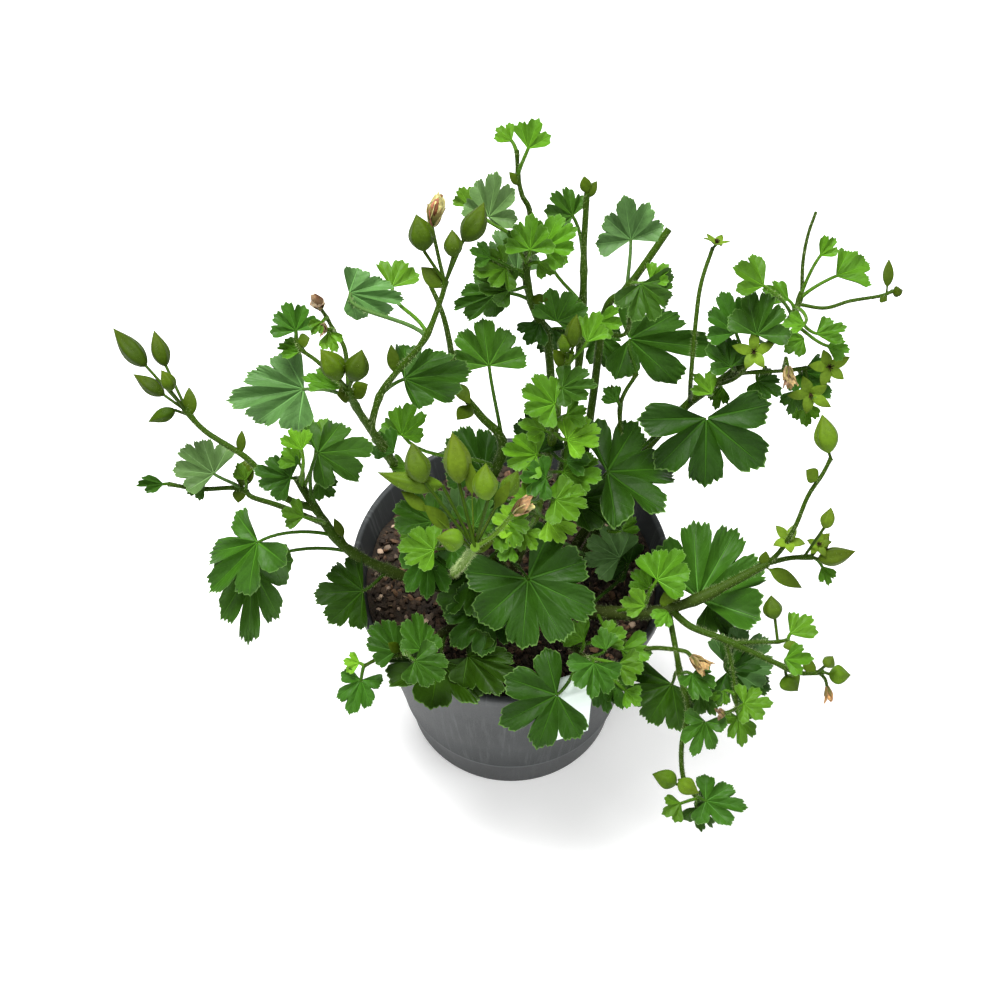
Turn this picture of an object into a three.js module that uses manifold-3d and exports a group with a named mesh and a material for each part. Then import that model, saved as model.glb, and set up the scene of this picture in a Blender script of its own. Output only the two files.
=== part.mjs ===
// A potted angel pelargonium: a thin plastic nursery pot filled with peat, a plain label hung over
// the rim, and fourteen leafy stems that each stand in a hole of their own in the peat.
// Millimetres, +Z up, origin at the middle of the pot's underside, the pot's front towards -Y.
import * as THREE from 'three';
import { mergeVertices } from 'three/addons/utils/BufferGeometryUtils.js';
import Module from 'manifold-3d';

const wasm = await Module();
wasm.setup();

// Pot
const RIM_RADIUS = 60;
const POT_HEIGHT = 98;
const BASE_RADIUS = 42;
const WALL = 1.4;
const LIP_WIDTH = 2.6;
const LIP_HEIGHT = 6;
const FOOT_HEIGHT = 19;
const FOOT_STEP = 0.8;
const FLOOR_THICKNESS = 1.6;
const POT_SEGMENTS = 30;
const DRAIN_COUNT = 4;
const DRAIN_RADIUS = 4;
const DRAIN_CIRCLE = 28;
const HOLE_SIDES = 6;

// Peat
const SOIL_TOP = 86;
const SOIL_GAP = 0.4;
const SOIL_RINGS = 3;
const SOIL_SEGMENTS = 20;
const HOLE_DEPTH = 24;
const HOLE_CLEARANCE = 0.55;

// Low mounds in the peat: height, and how fast they follow one another along x and y.
const SOIL_MOUNDS = [
  { height: 0.8, alongX: 0.19, alongY: 0.23 },
  { height: 0.5, alongX: 0.33, alongY: 0.29 },
];

// Label
const LABEL_WIDTH = 19;
const LABEL_THICKNESS = 0.7;
const LABEL_OUTER_LENGTH = 33;
const LABEL_INNER_LENGTH = 9;
const LABEL_LEAN = 1;
const LABEL_INNER_RADIUS = 54;
const LABEL_AZIMUTH = THREE.MathUtils.degToRad(-71);
const LABEL_GAP = 0.4;

// Leaves: a big leaf has teeth and a ring of points inside its edge, a small one has plain lobes.
const BLADE_THICKNESS = 0.62;
const BIG_LEAF = 22;
const SMALL_LEAF = 16.9;
const SMALL_YOUNG_LEAF = 10.5;
const TOOTH_DEPTH = 0.07;
const INNER_RING = 0.55;
const EDGE_DROOP = 0.1;
const PETIOLE_WIDTH = 1.5;
const LONG_PETIOLE = 22;
const SHORT_PETIOLE = 8;

// Stems: one that leaves the peat has more sides and a finer path than a side stem. What grows at
// a stem's end starts a tenth of a step inside it.
const MAIN_SIDES = 5;
const SIDE_SIDES = 4;
const STEM_RISE = 3;
const END_SINK = 0.1;

// Buds, bracts and dried flowers
const PEDICEL_RADIUS = 0.65;
const BRACT_HALF_THICKNESS = 0.5;
const BRACT_ARCH = 0.06;
const BRACT_SLENDERNESS = 1.3;
const SEAT_GAP = 0.3;

// Places on the plant are read in a picture taken from above the front: column and row in a
// picture 1000 wide and 1000 high, with the height above the pot's underside in millimetres.
const VIEW_ELEVATION = THREE.MathUtils.degToRad(53.2);
const VIEW_DISTANCE = 560;
const VIEW_AIM_HEIGHT = 136.2;
const VIEW_FOCAL = 1577;
const VIEW_COLUMN = 511;
const VIEW_ROW = 500;
const VIEW_SIN = Math.sin(VIEW_ELEVATION);
const VIEW_COS = Math.cos(VIEW_ELEVATION);

// A leaf's lobes, the angle from the middle vein to its edge in degrees, how deep and how sharp the
// cuts between the lobes are, how much shorter each lobe is than the one before it, how far the
// blade cups upward, and how far it rises from each lobe's vein to the cuts beside it.
const LEAF_KINDS = {
  deep: { lobes: 5, spread: 120, cut: 0.4, sharpness: 2.6, taper: 0.06, cup: 0.1, pleat: 0.12 },
  round: { lobes: 5, spread: 104, cut: 0.26, sharpness: 2.8, taper: 0.05, cup: 0.16, pleat: 0.1 },
  seven: { lobes: 7, spread: 142, cut: 0.27, sharpness: 2.6, taper: 0.035, cup: 0.08, pleat: 0.09 },
  young: { lobes: 3, spread: 64, cut: 0.26, sharpness: 2.6, taper: 0.08, cup: 0.2, pleat: 0.12 },
};

// One entry for each leafy stem.
//   root: where it leaves the peat (x, y in mm).
//   stems: name, parent, how far along the parent, places passed, radius at the start and end.
//     Lengths along a stem are counted in its own places: 2.5 is halfway from its second to its third.
//   leaves: stem, how far along it, place of the base of the blade, place of its tip, kind, width
//     beside a flat open leaf's.
//   buds: stem, how far along it, place of the base of the bud, place of its tip, radius.
//   bracts: stem, how far along it, place of the tip, width.
const SHOOTS = {
  left_shoot: {
    root: [-16, -3],
    stems: [
      ['main', '', 0,
        [[442, 587, 99], [395, 573, 109], [345, 547, 122], [316, 509, 136], [297, 478, 147]],
        2.39, 1.1],
      ['stalk', 'main', 4,
        [[286, 498, 143], [262, 474, 150], [244, 456, 155], [205, 431, 161], [184, 408, 167]],
        1.38, 1],
      ['side', 'main', 3.6,
        [[280, 506, 133], [252, 497, 131], [240, 488, 132], [200, 489, 134], [168, 484, 136]],
        1.1, 0.8],
    ],
    leaves: [
      ['side', 3, [214, 474, 143], [180, 448, 146], 'round', 0.8],
      ['side', 5, [164, 484, 137], [134, 488, 139], 'young', 0.5],
      ['main', 3.3, [258, 542, 130], [213, 594, 112], 'deep', 0.58],
      ['main', 2.8, [252, 567, 114], [249, 648, 90], 'deep', 0.55],
      ['main', 2.1, [363, 591, 108], [316, 594, 104], 'round', 0.9],
      ['main', 4.2, [318, 453, 164], [372, 447, 158], 'deep', 0.8],
      ['main', 4.6, [316, 446, 158], [303, 418, 160], 'young', 0.9],
      ['main', 5, [291, 478, 156], [254, 468, 157], 'round', 0.7],
      ['main', 4.8, [302, 450, 170], [293, 426, 174], 'young', 0.9],
    ],
    buds: [
      ['stalk', 5, [146, 366, 174], [113, 328, 180], 4.0],
      ['stalk', 4.8, [166, 366, 172], [154, 330, 180], 3.4],
      ['stalk', 4.85, [164, 395, 168], [133, 374, 172], 3.1],
      ['stalk', 4.9, [171, 391, 177], [161, 370, 183], 2.8],
      ['stalk', 4.65, [175, 410, 163], [148, 422, 160], 2.7],
    ],
    bracts: [
      ['stalk', 4.6, [189, 387, 171], 5],
      ['stalk', 3.1, [242, 430, 161], 3.5],
      ['side', 3, [250, 458, 142], 8],
      ['side', 3, [238, 503, 129], 5],
      ['main', 2.9, [334, 518, 133], 3.5],
    ],
  },
  upper_left_shoot: {
    root: [-9, 6],
    stems: [
      ['main', '', 0,
        [[437, 535, 122], [405, 482, 158], [376, 437, 188], [358, 410, 207], [347, 388, 220]],
        1.95, 1.01],
      ['stalk', 'main', 3.2,
        [[373, 418, 200], [381, 393, 208], [395, 374, 215], [424, 340, 226], [440, 302, 236],
          [446, 281, 242]],
        1.25, 1],
      ['left_twig', 'main', 4.9, [[318, 362, 214], [302, 350, 216], [296, 338, 218]], 0.9, 0.8],
      ['bloom_twig', 'main', 4.8,
        [[345, 350, 222], [335, 333, 226], [327, 318, 230], [321, 309, 234]],
        1, 0.7],
      ['low_twig', 'bloom_twig', 2, [[331, 330, 230], [327, 329, 231]], 0.7, 0.6],
      ['bud_twig', 'stalk', 5.8, [[437, 250, 247], [432, 226, 253]], 0.8, 0.7],
    ],
    leaves: [
      ['main', 4.2, [304, 389, 202], [232, 402, 197], 'round', 0.62],
      ['stalk', 4.1, [349, 293, 232], [406, 300, 228], 'round', 0.5],
      ['stalk', 4.15, [392, 287, 224], [404, 260, 226], 'young', 0.9],
      ['stalk', 1.8, [404, 379, 210], [467, 374, 203], 'round', 0.58],
      ['main', 4.6, [343, 388, 211], [304, 380, 209], 'young', 0.5],
      ['left_twig', 3, [296, 331, 220], [287, 300, 226], 'round', 0.85],
      ['left_twig', 2, [303, 350, 214], [276, 349, 213], 'young', 0.6],
      ['main', 1.6, [432, 522, 152], [396, 505, 152], 'round', 0.8],
      ['main', 1.3, [434, 550, 152], [398, 546, 152], 'round', 0.8],
    ],
    buds: [
      ['main', 5, [340, 380, 226], [320, 349, 234], 4.2],
      ['main', 4.9, [352, 381, 226], [362, 349, 235], 4.0],
      ['stalk', 5.9, [424, 251, 250], [416, 214, 260], 4.4],
      ['stalk', 5.9, [453, 257, 256], [452, 229, 262], 3.0],
      ['stalk', 6, [463, 241, 254], [484, 202, 262], 4.1],
    ],
    bracts: [
      ['stalk', 5.6, [421, 267, 244], 6],
      ['stalk', 3, [391, 344, 222], 4],
      ['left_twig', 2.6, [310, 338, 219], 5],
      ['main', 4.6, [368, 384, 220], 6],
    ],
  },
  back_left_shoot: {
    root: [-4, 14],
    stems: [
      ['main', '', 0,
        [[482, 505, 128], [503, 446, 160], [480, 415, 174], [456, 383, 187], [450, 345, 204], [442, 312, 216],
          [427, 278, 225]],
        1.88, 0.9],
    ],
    leaves: [
      ['main', 2, [489, 366, 190], [484, 316, 200], 'round', 0.92],
      ['main', 1.6, [402, 436, 182], [414, 402, 188], 'round', 0.8],
      ['main', 1.2, [484, 474, 138], [458, 428, 141], 'round', 0.75],
    ],
    buds: [],
    bracts: [
      ['main', 3.3, [457, 420, 182], 6],
      ['main', 4, [470, 404, 184], 5],
    ],
  },
  top_shoot: {
    root: [3, 13],
    stems: [
      ['main', '', 0,
        [[541, 478, 127], [551, 400, 165], [546, 335, 190], [534, 310, 200], [527, 282, 211], [527, 262, 219],
          [530, 214, 236], [522, 195, 243], [518, 175, 249], [517, 150, 257]],
        1.72, 0.8],
    ],
    leaves: [
      ['main', 9, [528, 149, 259], [541, 118, 266], 'young', 0.9],
      ['main', 9.8, [512, 141, 258], [494, 128, 260], 'young', 0.9],
      ['main', 6.6, [489, 217, 241], [499, 171, 252], 'round', 0.72],
      ['main', 6.3, [470, 207, 233], [459, 186, 237], 'young', 0.9],
      ['main', 5.2, [517, 273, 208], [494, 228, 216], 'round', 0.62],
      ['main', 4.8, [510, 290, 213], [472, 276, 216], 'round', 0.6],
      ['main', 4.3, [497, 293, 206], [454, 311, 200], 'round', 0.6],
      ['main', 6, [530, 250, 232], [532, 214, 240], 'round', 0.8],
      ['main', 6.1, [544, 248, 230], [579, 226, 236], 'round', 0.75],
    ],
    buds: [],
    bracts: [
      ['main', 8.5, [509, 172, 251], 3],
      ['main', 4.4, [548, 300, 207], 4],
    ],
  },
  back_shoot: {
    root: [12, 15],
    stems: [
      ['main', '', 0, [[562, 468, 130], [577, 380, 168], [583, 300, 200], [584, 245, 218], [587, 193, 235]],
        1.36, 1],
    ],
    leaves: [
      ['main', 3.5, [573, 216, 226], [548, 193, 232], 'round', 0.8],
      ['main', 3, [557, 322, 199], [575, 287, 209], 'round', 0.6],
      ['main', 2.5, [552, 328, 184], [539, 354, 180], 'round', 0.8],
      ['main', 2.6, [597, 322, 188], [625, 327, 189], 'young', 0.9],
      ['main', 2.3, [598, 335, 170], [608, 373, 163], 'round', 0.65],
      ['main', 2.9, [549, 258, 216], [571, 247, 218], 'young', 0.9],
    ],
    buds: [],
    bracts: [
      ['main', 5, [587, 172, 241], 9],
      ['main', 4.7, [601, 181, 238], 5],
    ],
  },
  back_right_shoot: {
    root: [16, 9],
    stems: [
      ['main', '', 0, [[577, 498, 124], [593, 397, 157], [605, 312, 188], [625, 291, 195], [642, 268, 202],
        [669, 229, 213]], 1.58, 1.22],
      ['side', 'main', 2.7, [[625, 334, 180], [632, 306, 193], [640, 288, 202]], 1, 0.9],
    ],
    leaves: [
      ['main', 4.1, [631, 240, 208], [622, 195, 222], 'round', 0.82],
      ['side', 3, [641, 284, 206], [655, 324, 196], 'round', 0.9],
    ],
    buds: [],
    bracts: [],
  },
  right_top_shoot: {
    root: [19, 2],
    stems: [
      ['main', '', 0,
        [[587, 528, 111], [635, 462, 133], [690, 402, 151], [735, 371, 164], [766, 347, 173], [792, 317, 182],
          [802, 292, 189]],
        1.95, 1],
      ['spike', 'main', 7, [[803, 262, 200], [808, 235, 210], [816, 212, 218]], 0.9, 0.5],
      ['right_stalk', 'main', 6.5,
        [[825, 308, 187], [850, 301, 188], [880, 296, 189], [893, 291, 190]],
        0.9, 0.8],
      ['star_stalk', 'main', 3,
        [[691, 376, 170], [697, 310, 191], [702, 280, 199], [713, 247, 207]],
        1, 0.9],
      ['low_stalk', 'main', 3.7, [[745, 373, 168], [780, 371, 171], [808, 368, 173]], 1, 0.8],
      ['mid_stalk', 'main', 3.4, [[736, 378, 166], [754, 357, 177]], 0.9, 0.8],
      ['flower_twig', 'low_stalk', 2.1, [[785, 362, 177], [786, 358, 181], [788, 366, 180]], 0.8, 0.7],
    ],
    leaves: [
      ['main', 6.9, [820, 256, 202], [837, 238, 206], 'young', 0.7],
      ['main', 6.7, [836, 276, 194], [869, 267, 192], 'young', 0.9],
      ['main', 6, [764, 286, 200], [732, 268, 204], 'young', 0.9],
      ['main', 6.2, [789, 300, 187], [760, 290, 188], 'young', 0.65],
      ['main', 4.3, [736, 333, 182], [721, 294, 190], 'round', 0.85],
      ['main', 5, [757, 335, 186], [771, 289, 195], 'round', 0.75],
      ['main', 4, [731, 367, 172], [710, 333, 178], 'round', 0.65],
      ['main', 3.2, [712, 394, 164], [694, 374, 168], 'young', 0.8],
      ['main', 3.3, [722, 386, 154], [716, 409, 148], 'young', 0.8],
      ['main', 5.5, [804, 339, 181], [783, 353, 178], 'young', 0.8],
      ['main', 6.1, [816, 334, 190], [844, 328, 190], 'young', 0.8],
      ['main', 5.8, [827, 346, 182], [850, 350, 180], 'young', 0.8],
      ['main', 6.3, [805, 324, 196], [783, 325, 195], 'young', 0.8],
      ['low_stalk', 1.4, [757, 381, 164], [780, 396, 162], 'round', 0.8],
      ['low_stalk', 3, [803, 372, 169], [827, 398, 164], 'round', 0.85],
    ],
    buds: [
    ],
    bracts: [
      ['right_stalk', 3.4, [889, 259, 197], 4],
      ['right_stalk', 3, [887, 301, 188], 4],
      ['star_stalk', 3.9, [704, 238, 209], 5],
      ['star_stalk', 3.95, [734, 241, 209], 5],
      ['star_stalk', 4, [719, 232, 211], 5],
      ['low_stalk', 3, [812, 383, 176], 7],
      ['low_stalk', 2.95, [846, 381, 175], 8],
      ['low_stalk', 2.85, [848, 354, 178], 8],
      ['mid_stalk', 2, [732, 351, 180], 7],
      ['mid_stalk', 1.9, [749, 334, 184], 6],
      ['mid_stalk', 1.8, [772, 344, 181], 8],
    ],
  },
  right_shoot: {
    root: [19, -6],
    stems: [
      ['main', '', 0, [[585, 552, 108], [604, 515, 121], [614, 480, 133]], 1.84, 1.36],
      ['side', 'main', 3, [[620, 440, 146], [621, 402, 158], [637, 373, 166]], 1, 0.9],
    ],
    leaves: [
      ['side', 3, [629, 339, 171], [713, 351, 163], 'deep', 0.58],
      ['main', 3, [706, 418, 158], [709, 494, 138], 'deep', 1],
      ['main', 2.7, [607, 472, 146], [677, 468, 138], 'deep', 0.9],
      ['main', 1.6, [621, 531, 122], [636, 516, 125], 'young', 0.9],
    ],
    buds: [],
    bracts: [
      ['side', 1.8, [611, 384, 160], 3],
    ],
  },
  right_low_shoot: {
    root: [21, -14],
    stems: [
      ['main', '', 0,
        [[577, 610, 97], [618, 613, 103], [660, 611, 109], [700, 598, 115], [740, 578, 120], [768, 563, 124]],
        2.43, 1.44],
      ['upper', 'main', 6,
        [[781, 550, 131], [795, 527, 141], [808, 496, 151], [822, 475, 158], [831, 458, 163]],
        1, 0.8],
      ['bud_stalk', 'main', 6, [[790, 558, 126], [813, 557, 128]], 1, 0.9],
      ['trail', 'main', 3.25,
        [[690, 626, 110], [720, 638, 110], [750, 651, 109], [778, 664, 108], [800, 673, 107],
          [824, 672, 107]],
        1.35, 0.8],
      ['trail_side', 'trail', 2.4, [[760, 642, 112], [775, 642, 113], [788, 640, 113]], 0.9, 0.7],
      ['trail_low', 'trail', 2.2, [[733, 672, 101], [736, 700, 95], [737, 712, 93]], 0.8, 0.7],
      ['hanging', 'main', 3.2,
        [[675, 645, 104], [681, 678, 97], [689, 710, 88], [682, 742, 78], [682, 770, 69], [687, 786, 65],
          [699, 799, 62]],
        1.08, 0.9],
      ['bloom_stalk', 'main', 1.8,
        [[628, 646, 99], [660, 648, 107], [684, 651, 112], [691, 656, 112]],
        1, 0.8],
      ['floret_twig', 'trail_low', 2.6, [[731, 711, 96], [725, 713, 96]], 0.7, 0.6],
      ['petal_twig', 'trail', 5.8, [[825, 679, 105], [827, 686, 104]], 0.7, 0.6],
    ],
    leaves: [
      ['main', 3.9, [698, 598, 109], [740, 530, 114], 'round', 0.8],
      ['main', 4.2, [708, 604, 99], [751, 628, 92], 'round', 0.65],
      ['main', 2.6, [657, 580, 123], [684, 551, 128], 'round', 0.85],
      ['main', 2.2, [651, 589, 110], [629, 572, 112], 'young', 0.8],
      ['main', 1.9, [645, 606, 118], [620, 600, 120], 'young', 0.8],
      ['main', 1.3, [629, 564, 100], [588, 543, 103], 'round', 0.6],
      ['bud_stalk', 1.8, [822, 566, 122], [829, 586, 117], 'young', 0.7],
      ['main', 1.5, [621, 650, 102], [655, 655, 101], 'young', 0.9],
      ['trail', 4.6, [785, 659, 116], [814, 660, 119], 'young', 0.8],
      ['trail_side', 3, [790, 634, 115], [813, 617, 117], 'young', 0.9],
      ['trail', 2.3, [727, 672, 91], [778, 690, 86], 'deep', 0.75],
      ['hanging', 1.8, [672, 684, 88], [646, 727, 77], 'round', 0.95],
      ['hanging', 3.2, [705, 722, 90], [694, 758, 82], 'deep', 0.7],
      ['hanging', 1.9, [692, 674, 105], [709, 701, 102], 'round', 0.7],
      ['trail_low', 2.9, [738, 717, 90], [743, 749, 84], 'deep', 0.65],
      ['trail_low', 3, [744, 704, 99], [773, 703, 99], 'deep', 0.8],
      ['hanging', 7, [681, 803, 62], [661, 814, 61], 'young', 0.9],
      ['hanging', 6.9, [696, 807, 57], [716, 829, 52], 'deep', 0.7],
      ['hanging', 6.8, [706, 801, 66], [751, 808, 66], 'deep', 0.65],
    ],
    buds: [
      ['upper', 5, [829, 453, 165], [822, 414, 174], 4.5],
      ['bud_stalk', 2, [818, 559, 128], [856, 551, 131], 3.6],
      ['bud_stalk', 1.9, [816, 551, 129], [830, 533, 134], 3.0],
      ['bud_stalk', 1.6, [824, 528, 146], [831, 507, 152], 2.6],
      ['trail', 4.3, [786, 675, 100], [798, 691, 99], 4.4],
      ['trail', 6, [829, 674, 107], [851, 675, 107], 3.7],
      ['trail_side', 2.2, [775, 619, 117], [771, 595, 123], 3.7],
      ['hanging', 6.1, [676, 784, 65], [652, 774, 69], 3.8],
      ['hanging', 5.6, [679, 780, 77], [699, 793, 76], 3.4],
    ],
    bracts: [
      ['upper', 3.7, [806, 470, 160], 6],
      ['upper', 1.2, [776, 527, 140], 9],
      ['upper', 1.35, [807, 534, 139], 8],
      ['upper', 1.05, [800, 556, 133], 8],
      ['main', 5.8, [802, 588, 114], 6],
      ['main', 5.8, [766, 551, 129], 4],
      ['main', 3.2, [664, 592, 115], 5],
      ['main', 3.2, [681, 590, 114], 4],
      ['trail', 5.3, [812, 660, 110], 5],
      ['trail_side', 3, [792, 651, 112], 5],
    ],
  },
  front_shoot: {
    root: [-1, -11],
    stems: [
      ['main', '', 0, [[503, 572, 101], [500, 556, 115]], 1.89, 1.44],
    ],
    leaves: [
      ['main', 2, [528, 579, 130], [567, 647, 118], 'seven', 0.9],
      ['main', 1.4, [488, 609, 116], [452, 647, 110], 'round', 0.84],
      ['main', 1, [468, 656, 106], [523, 682, 104], 'round', 0.6],
    ],
    buds: [],
    bracts: [
      ['main', 1.6, [489, 560, 116], 4],
    ],
  },
  front_right_shoot: {
    root: [9, -17],
    stems: [
      ['main', '', 0, [[560, 632, 99], [585, 660, 107]], 1.8, 1.08],
    ],
    leaves: [
      ['main', 1.9, [557, 695, 108], [497, 722, 101], 'deep', 0.85],
      ['main', 2, [594, 663, 118], [589, 701, 113], 'round', 0.85],
      ['main', 1.6, [600, 640, 110], [626, 632, 110], 'young', 0.9],
      ['main', 2, [612, 675, 106], [622, 711, 100], 'deep', 0.65],
      ['main', 2, [618, 664, 113], [646, 672, 111], 'young', 0.9],
    ],
    buds: [],
    bracts: [],
  },
  front_left_shoot: {
    root: [-13, -15],
    stems: [
      ['main', '', 0, [[452, 628, 98], [420, 645, 104], [398, 655, 108]], 1.8, 1],
      ['twig', 'main', 3, [[378, 659, 107], [364, 666, 103]], 0.9, 0.7],
    ],
    leaves: [
      ['main', 2.5, [396, 651, 110], [368, 626, 112], 'round', 0.75],
      ['main', 2.7, [415, 661, 122], [446, 681, 118], 'round', 0.8],
      ['main', 1.9, [421, 650, 114], [415, 614, 118], 'round', 0.65],
      ['twig', 2, [361, 680, 99], [350, 717, 91], 'deep', 0.7],
      ['main', 1.2, [439, 661, 99], [428, 714, 101], 'round', 1.1],
    ],
    buds: [],
    bracts: [
      ['main', 2.8, [388, 643, 118], 4],
    ],
  },
  centre_shoot: {
    root: [1, 3],
    stems: [
      ['main', '', 0, [[533, 520, 122], [545, 470, 146], [555, 425, 167], [560, 390, 181], [571, 352, 196]],
        1.76, 1],
    ],
    leaves: [
      ['main', 2.2, [537, 455, 167], [499, 449, 171], 'round', 0.75],
      ['main', 2.8, [567, 440, 170], [602, 428, 172], 'round', 0.8],
      ['main', 3.3, [555, 404, 184], [517, 391, 188], 'round', 0.8],
      ['main', 3.8, [562, 388, 188], [600, 385, 191], 'round', 0.65],
      ['main', 4.6, [587, 342, 200], [600, 313, 204], 'young', 0.75],
      ['main', 1.8, [563, 472, 158], [604, 482, 158], 'round', 0.85],
      ['main', 1.5, [578, 500, 139], [638, 513, 131], 'round', 0.55],
      ['main', 2.1, [539, 452, 158], [530, 410, 162], 'round', 0.65],
      ['main', 1, [518, 528, 150], [491, 518, 154], 'round', 0.9],
      ['main', 1.2, [548, 520, 148], [576, 531, 146], 'round', 0.9],
      ['main', 0.9, [428, 555, 128], [426, 603, 122], 'round', 0.7],
    ],
    buds: [
      ['main', 5, [573, 347, 201], [577, 314, 210], 3.0],
      ['main', 4.8, [565, 352, 199], [562, 334, 205], 2.6],
    ],
    bracts: [
      ['main', 4.6, [553, 350, 198], 5],
    ],
  },
  near_shoot: {
    root: [-9, -5],
    stems: [
      ['main', '', 0, [[466, 583, 102], [454, 574, 128], [460, 567, 157], [467, 557, 186], [475, 547, 210]],
        1.61, 1.1],
      ['petal_stalk', 'main', 4.95, [[495, 534, 212], [513, 514, 214]], 0.8, 0.7],
    ],
    leaves: [],
    buds: [
      ['main', 4.8, [463, 543, 214], [436, 538, 217], 3.6],
      ['main', 5, [459, 483, 224], [452, 432, 236], 4.4],
      ['main', 4.9, [425, 482, 226], [412, 442, 234], 4.0],
      ['main', 4.9, [488, 500, 226], [486, 463, 234], 4.0],
      ['main', 4.95, [442, 485, 222], [377, 472, 226], 3.2],
      ['main', 4.9, [502, 495, 220], [518, 470, 227], 3],
    ],
    bracts: [
      ['main', 4.6, [424, 505, 219], 5],
    ],
  },
};

// Faded and dried flowers, each a body of its own on the end of its pedicel: name, place of the
// seat, place of the tip, width, petals and colour.
const BLOOMS = [
  ['faded_bud', [432, 226, 253], [440, 190, 262], 8.5, 4, 0xe8dc8a],
  ['dried_bloom_left_high', [321, 309, 234], [316, 298, 239], 6, 3, 0xcbb58e],
  ['dried_bloom_left_low', [327, 329, 231], [320, 328, 232], 5, 3, 0x9a7a5a],
  ['dried_bloom_right', [788, 366, 180], [790, 391, 175], 6.5, 4, 0xd8b878],
  ['dried_bloom_front', [691, 656, 112], [710, 672, 110], 7.5, 4, 0xd9b06a],
  ['dried_bloom_trail', [725, 713, 96], [716, 714, 96], 5.5, 3, 0xa88a62],
  ['dried_petal_right', [827, 686, 104], [830, 704, 100], 4.5, 3, 0xd9a45f],
  ['dried_bloom_near', [513, 514, 214], [533, 499, 217], 7, 4, 0xe0b27c],
];

const UP = new THREE.Vector3(0, 0, 1);
const TO_VIEWER = new THREE.Vector3(0, -VIEW_COS, VIEW_SIN);
const LEAF_FACING = TO_VIEWER.clone().lerp(UP, 0.35).normalize();

// The point in space for a place given as column, row and height.
function place([column, row, height]) {
  const slope = (VIEW_ROW - row) / VIEW_FOCAL;
  const lift = height - VIEW_AIM_HEIGHT;
  const reach = slope * (VIEW_DISTANCE - VIEW_SIN * lift) - VIEW_COS * lift;
  const y = reach / (VIEW_SIN - VIEW_COS * slope);
  const depth = VIEW_DISTANCE + y * VIEW_COS - lift * VIEW_SIN;
  return new THREE.Vector3(((column - VIEW_COLUMN) * depth) / VIEW_FOCAL, y, height);
}

// A closed triangle mesh as a solid that can be joined and cut.
function solidOf(geometry) {
  geometry.deleteAttribute('normal');
  geometry.deleteAttribute('uv');
  const merged = mergeVertices(geometry, 1e-4);
  const surface = new wasm.Mesh({
    numProp: 3,
    vertProperties: new Float32Array(merged.attributes.position.array),
    triVerts: new Uint32Array(merged.index.array),
  });
  return new wasm.Manifold(surface);
}

function solid(points, faces) {
  const geometry = new THREE.BufferGeometry();
  const numbers = points.flatMap((point) => point.toArray());
  geometry.setAttribute('position', new THREE.Float32BufferAttribute(numbers, 3));
  geometry.setIndex(faces.flat());
  return solidOf(geometry);
}

function geometryOf(whole) {
  const surface = whole.getMesh();
  const geometry = new THREE.BufferGeometry();
  geometry.setAttribute('position', new THREE.BufferAttribute(Float32Array.from(surface.vertProperties), 3));
  geometry.setIndex(new THREE.BufferAttribute(Uint32Array.from(surface.triVerts), 1));
  return geometry;
}

// Frames along a path: its points, each with a normal carried along without twisting and the
// direction square to it and to the path.
function frames(path, facing) {
  const last = path.length - 1;
  let normal = facing.clone();
  return path.map((point, i) => {
    const tangent = path[Math.min(i + 1, last)].clone().sub(path[Math.max(i - 1, 0)]).normalize();
    normal = normal.clone().addScaledVector(tangent, -normal.dot(tangent)).normalize();
    return { point, normal, side: normal.clone().cross(tangent) };
  });
}

// A solid swept along a path, with half widths and half heights at each of its points. An end
// whose half width is zero closes in a point.
function swept(path, widths, heights, sides, facing) {
  const points = [];
  const faces = [];
  const rings = frames(path, facing).map(({ point, normal, side }, i) => {
    const first = points.length;
    const count = widths[i] === 0 ? 1 : sides;
    for (let k = 0; k < count; k += 1) {
      const angle = (2 * Math.PI * (k + 0.5)) / sides;
      const across = count === 1 ? 0 : Math.cos(angle) * widths[i];
      const above = count === 1 ? 0 : Math.sin(angle) * heights[i];
      points.push(point.clone().addScaledVector(side, across).addScaledVector(normal, above));
    }
    return { first, count };
  });
  for (let i = 0; i + 1 < rings.length; i += 1) {
    const [a, b] = [rings[i], rings[i + 1]];
    for (let k = 0; k < sides; k += 1) {
      const next = (k + 1) % sides;
      if (b.count > 1) faces.push([a.first + (a.count > 1 ? k : 0), b.first + next, b.first + k]);
      if (a.count > 1) faces.push([a.first + k, a.first + next, b.first + (b.count > 1 ? next : 0)]);
    }
  }
  const end = rings[rings.length - 1];
  for (let k = 1; k + 1 < sides; k += 1) {
    if (rings[0].count > 1) faces.push([rings[0].first, rings[0].first + k + 1, rings[0].first + k]);
    if (end.count > 1) faces.push([end.first, end.first + k, end.first + k + 1]);
  }
  return solid(points, faces);
}

// A stem: a smooth path through its places, thinner towards its end. A foot reaches straight down
// from its first place.
class Stem {
  constructor(places, startRadius, endRadius, stepsPerPlace, sides, foot = []) {
    const curve = new THREE.CatmullRomCurve3(places, false, 'catmullrom', 0.5);
    const steps = (places.length - 1) * stepsPerPlace;
    this.path = Array.from({ length: steps + 1 }, (_, i) => curve.getPoint(i / steps));
    this.radii = this.path.map((_, i) => THREE.MathUtils.lerp(startRadius, endRadius, i / steps));
    this.foot = foot;
    this.stepsPerPlace = stepsPerPlace;
    this.sides = sides;
  }

  at(along) {
    const step = Math.min(along * this.stepsPerPlace, this.path.length - 1 - END_SINK);
    const from = Math.floor(step);
    return this.path[from].clone().lerp(this.path[from + 1], step - from);
  }

  solid() {
    const path = [...this.foot, ...this.path];
    const radii = [...this.foot.map(() => this.radii[0]), ...this.radii];
    const upright = Math.abs(path[1].clone().sub(path[0]).normalize().z) > 0.8;
    return swept(path, radii, radii, this.sides, upright ? TO_VIEWER : UP);
  }
}

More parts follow.
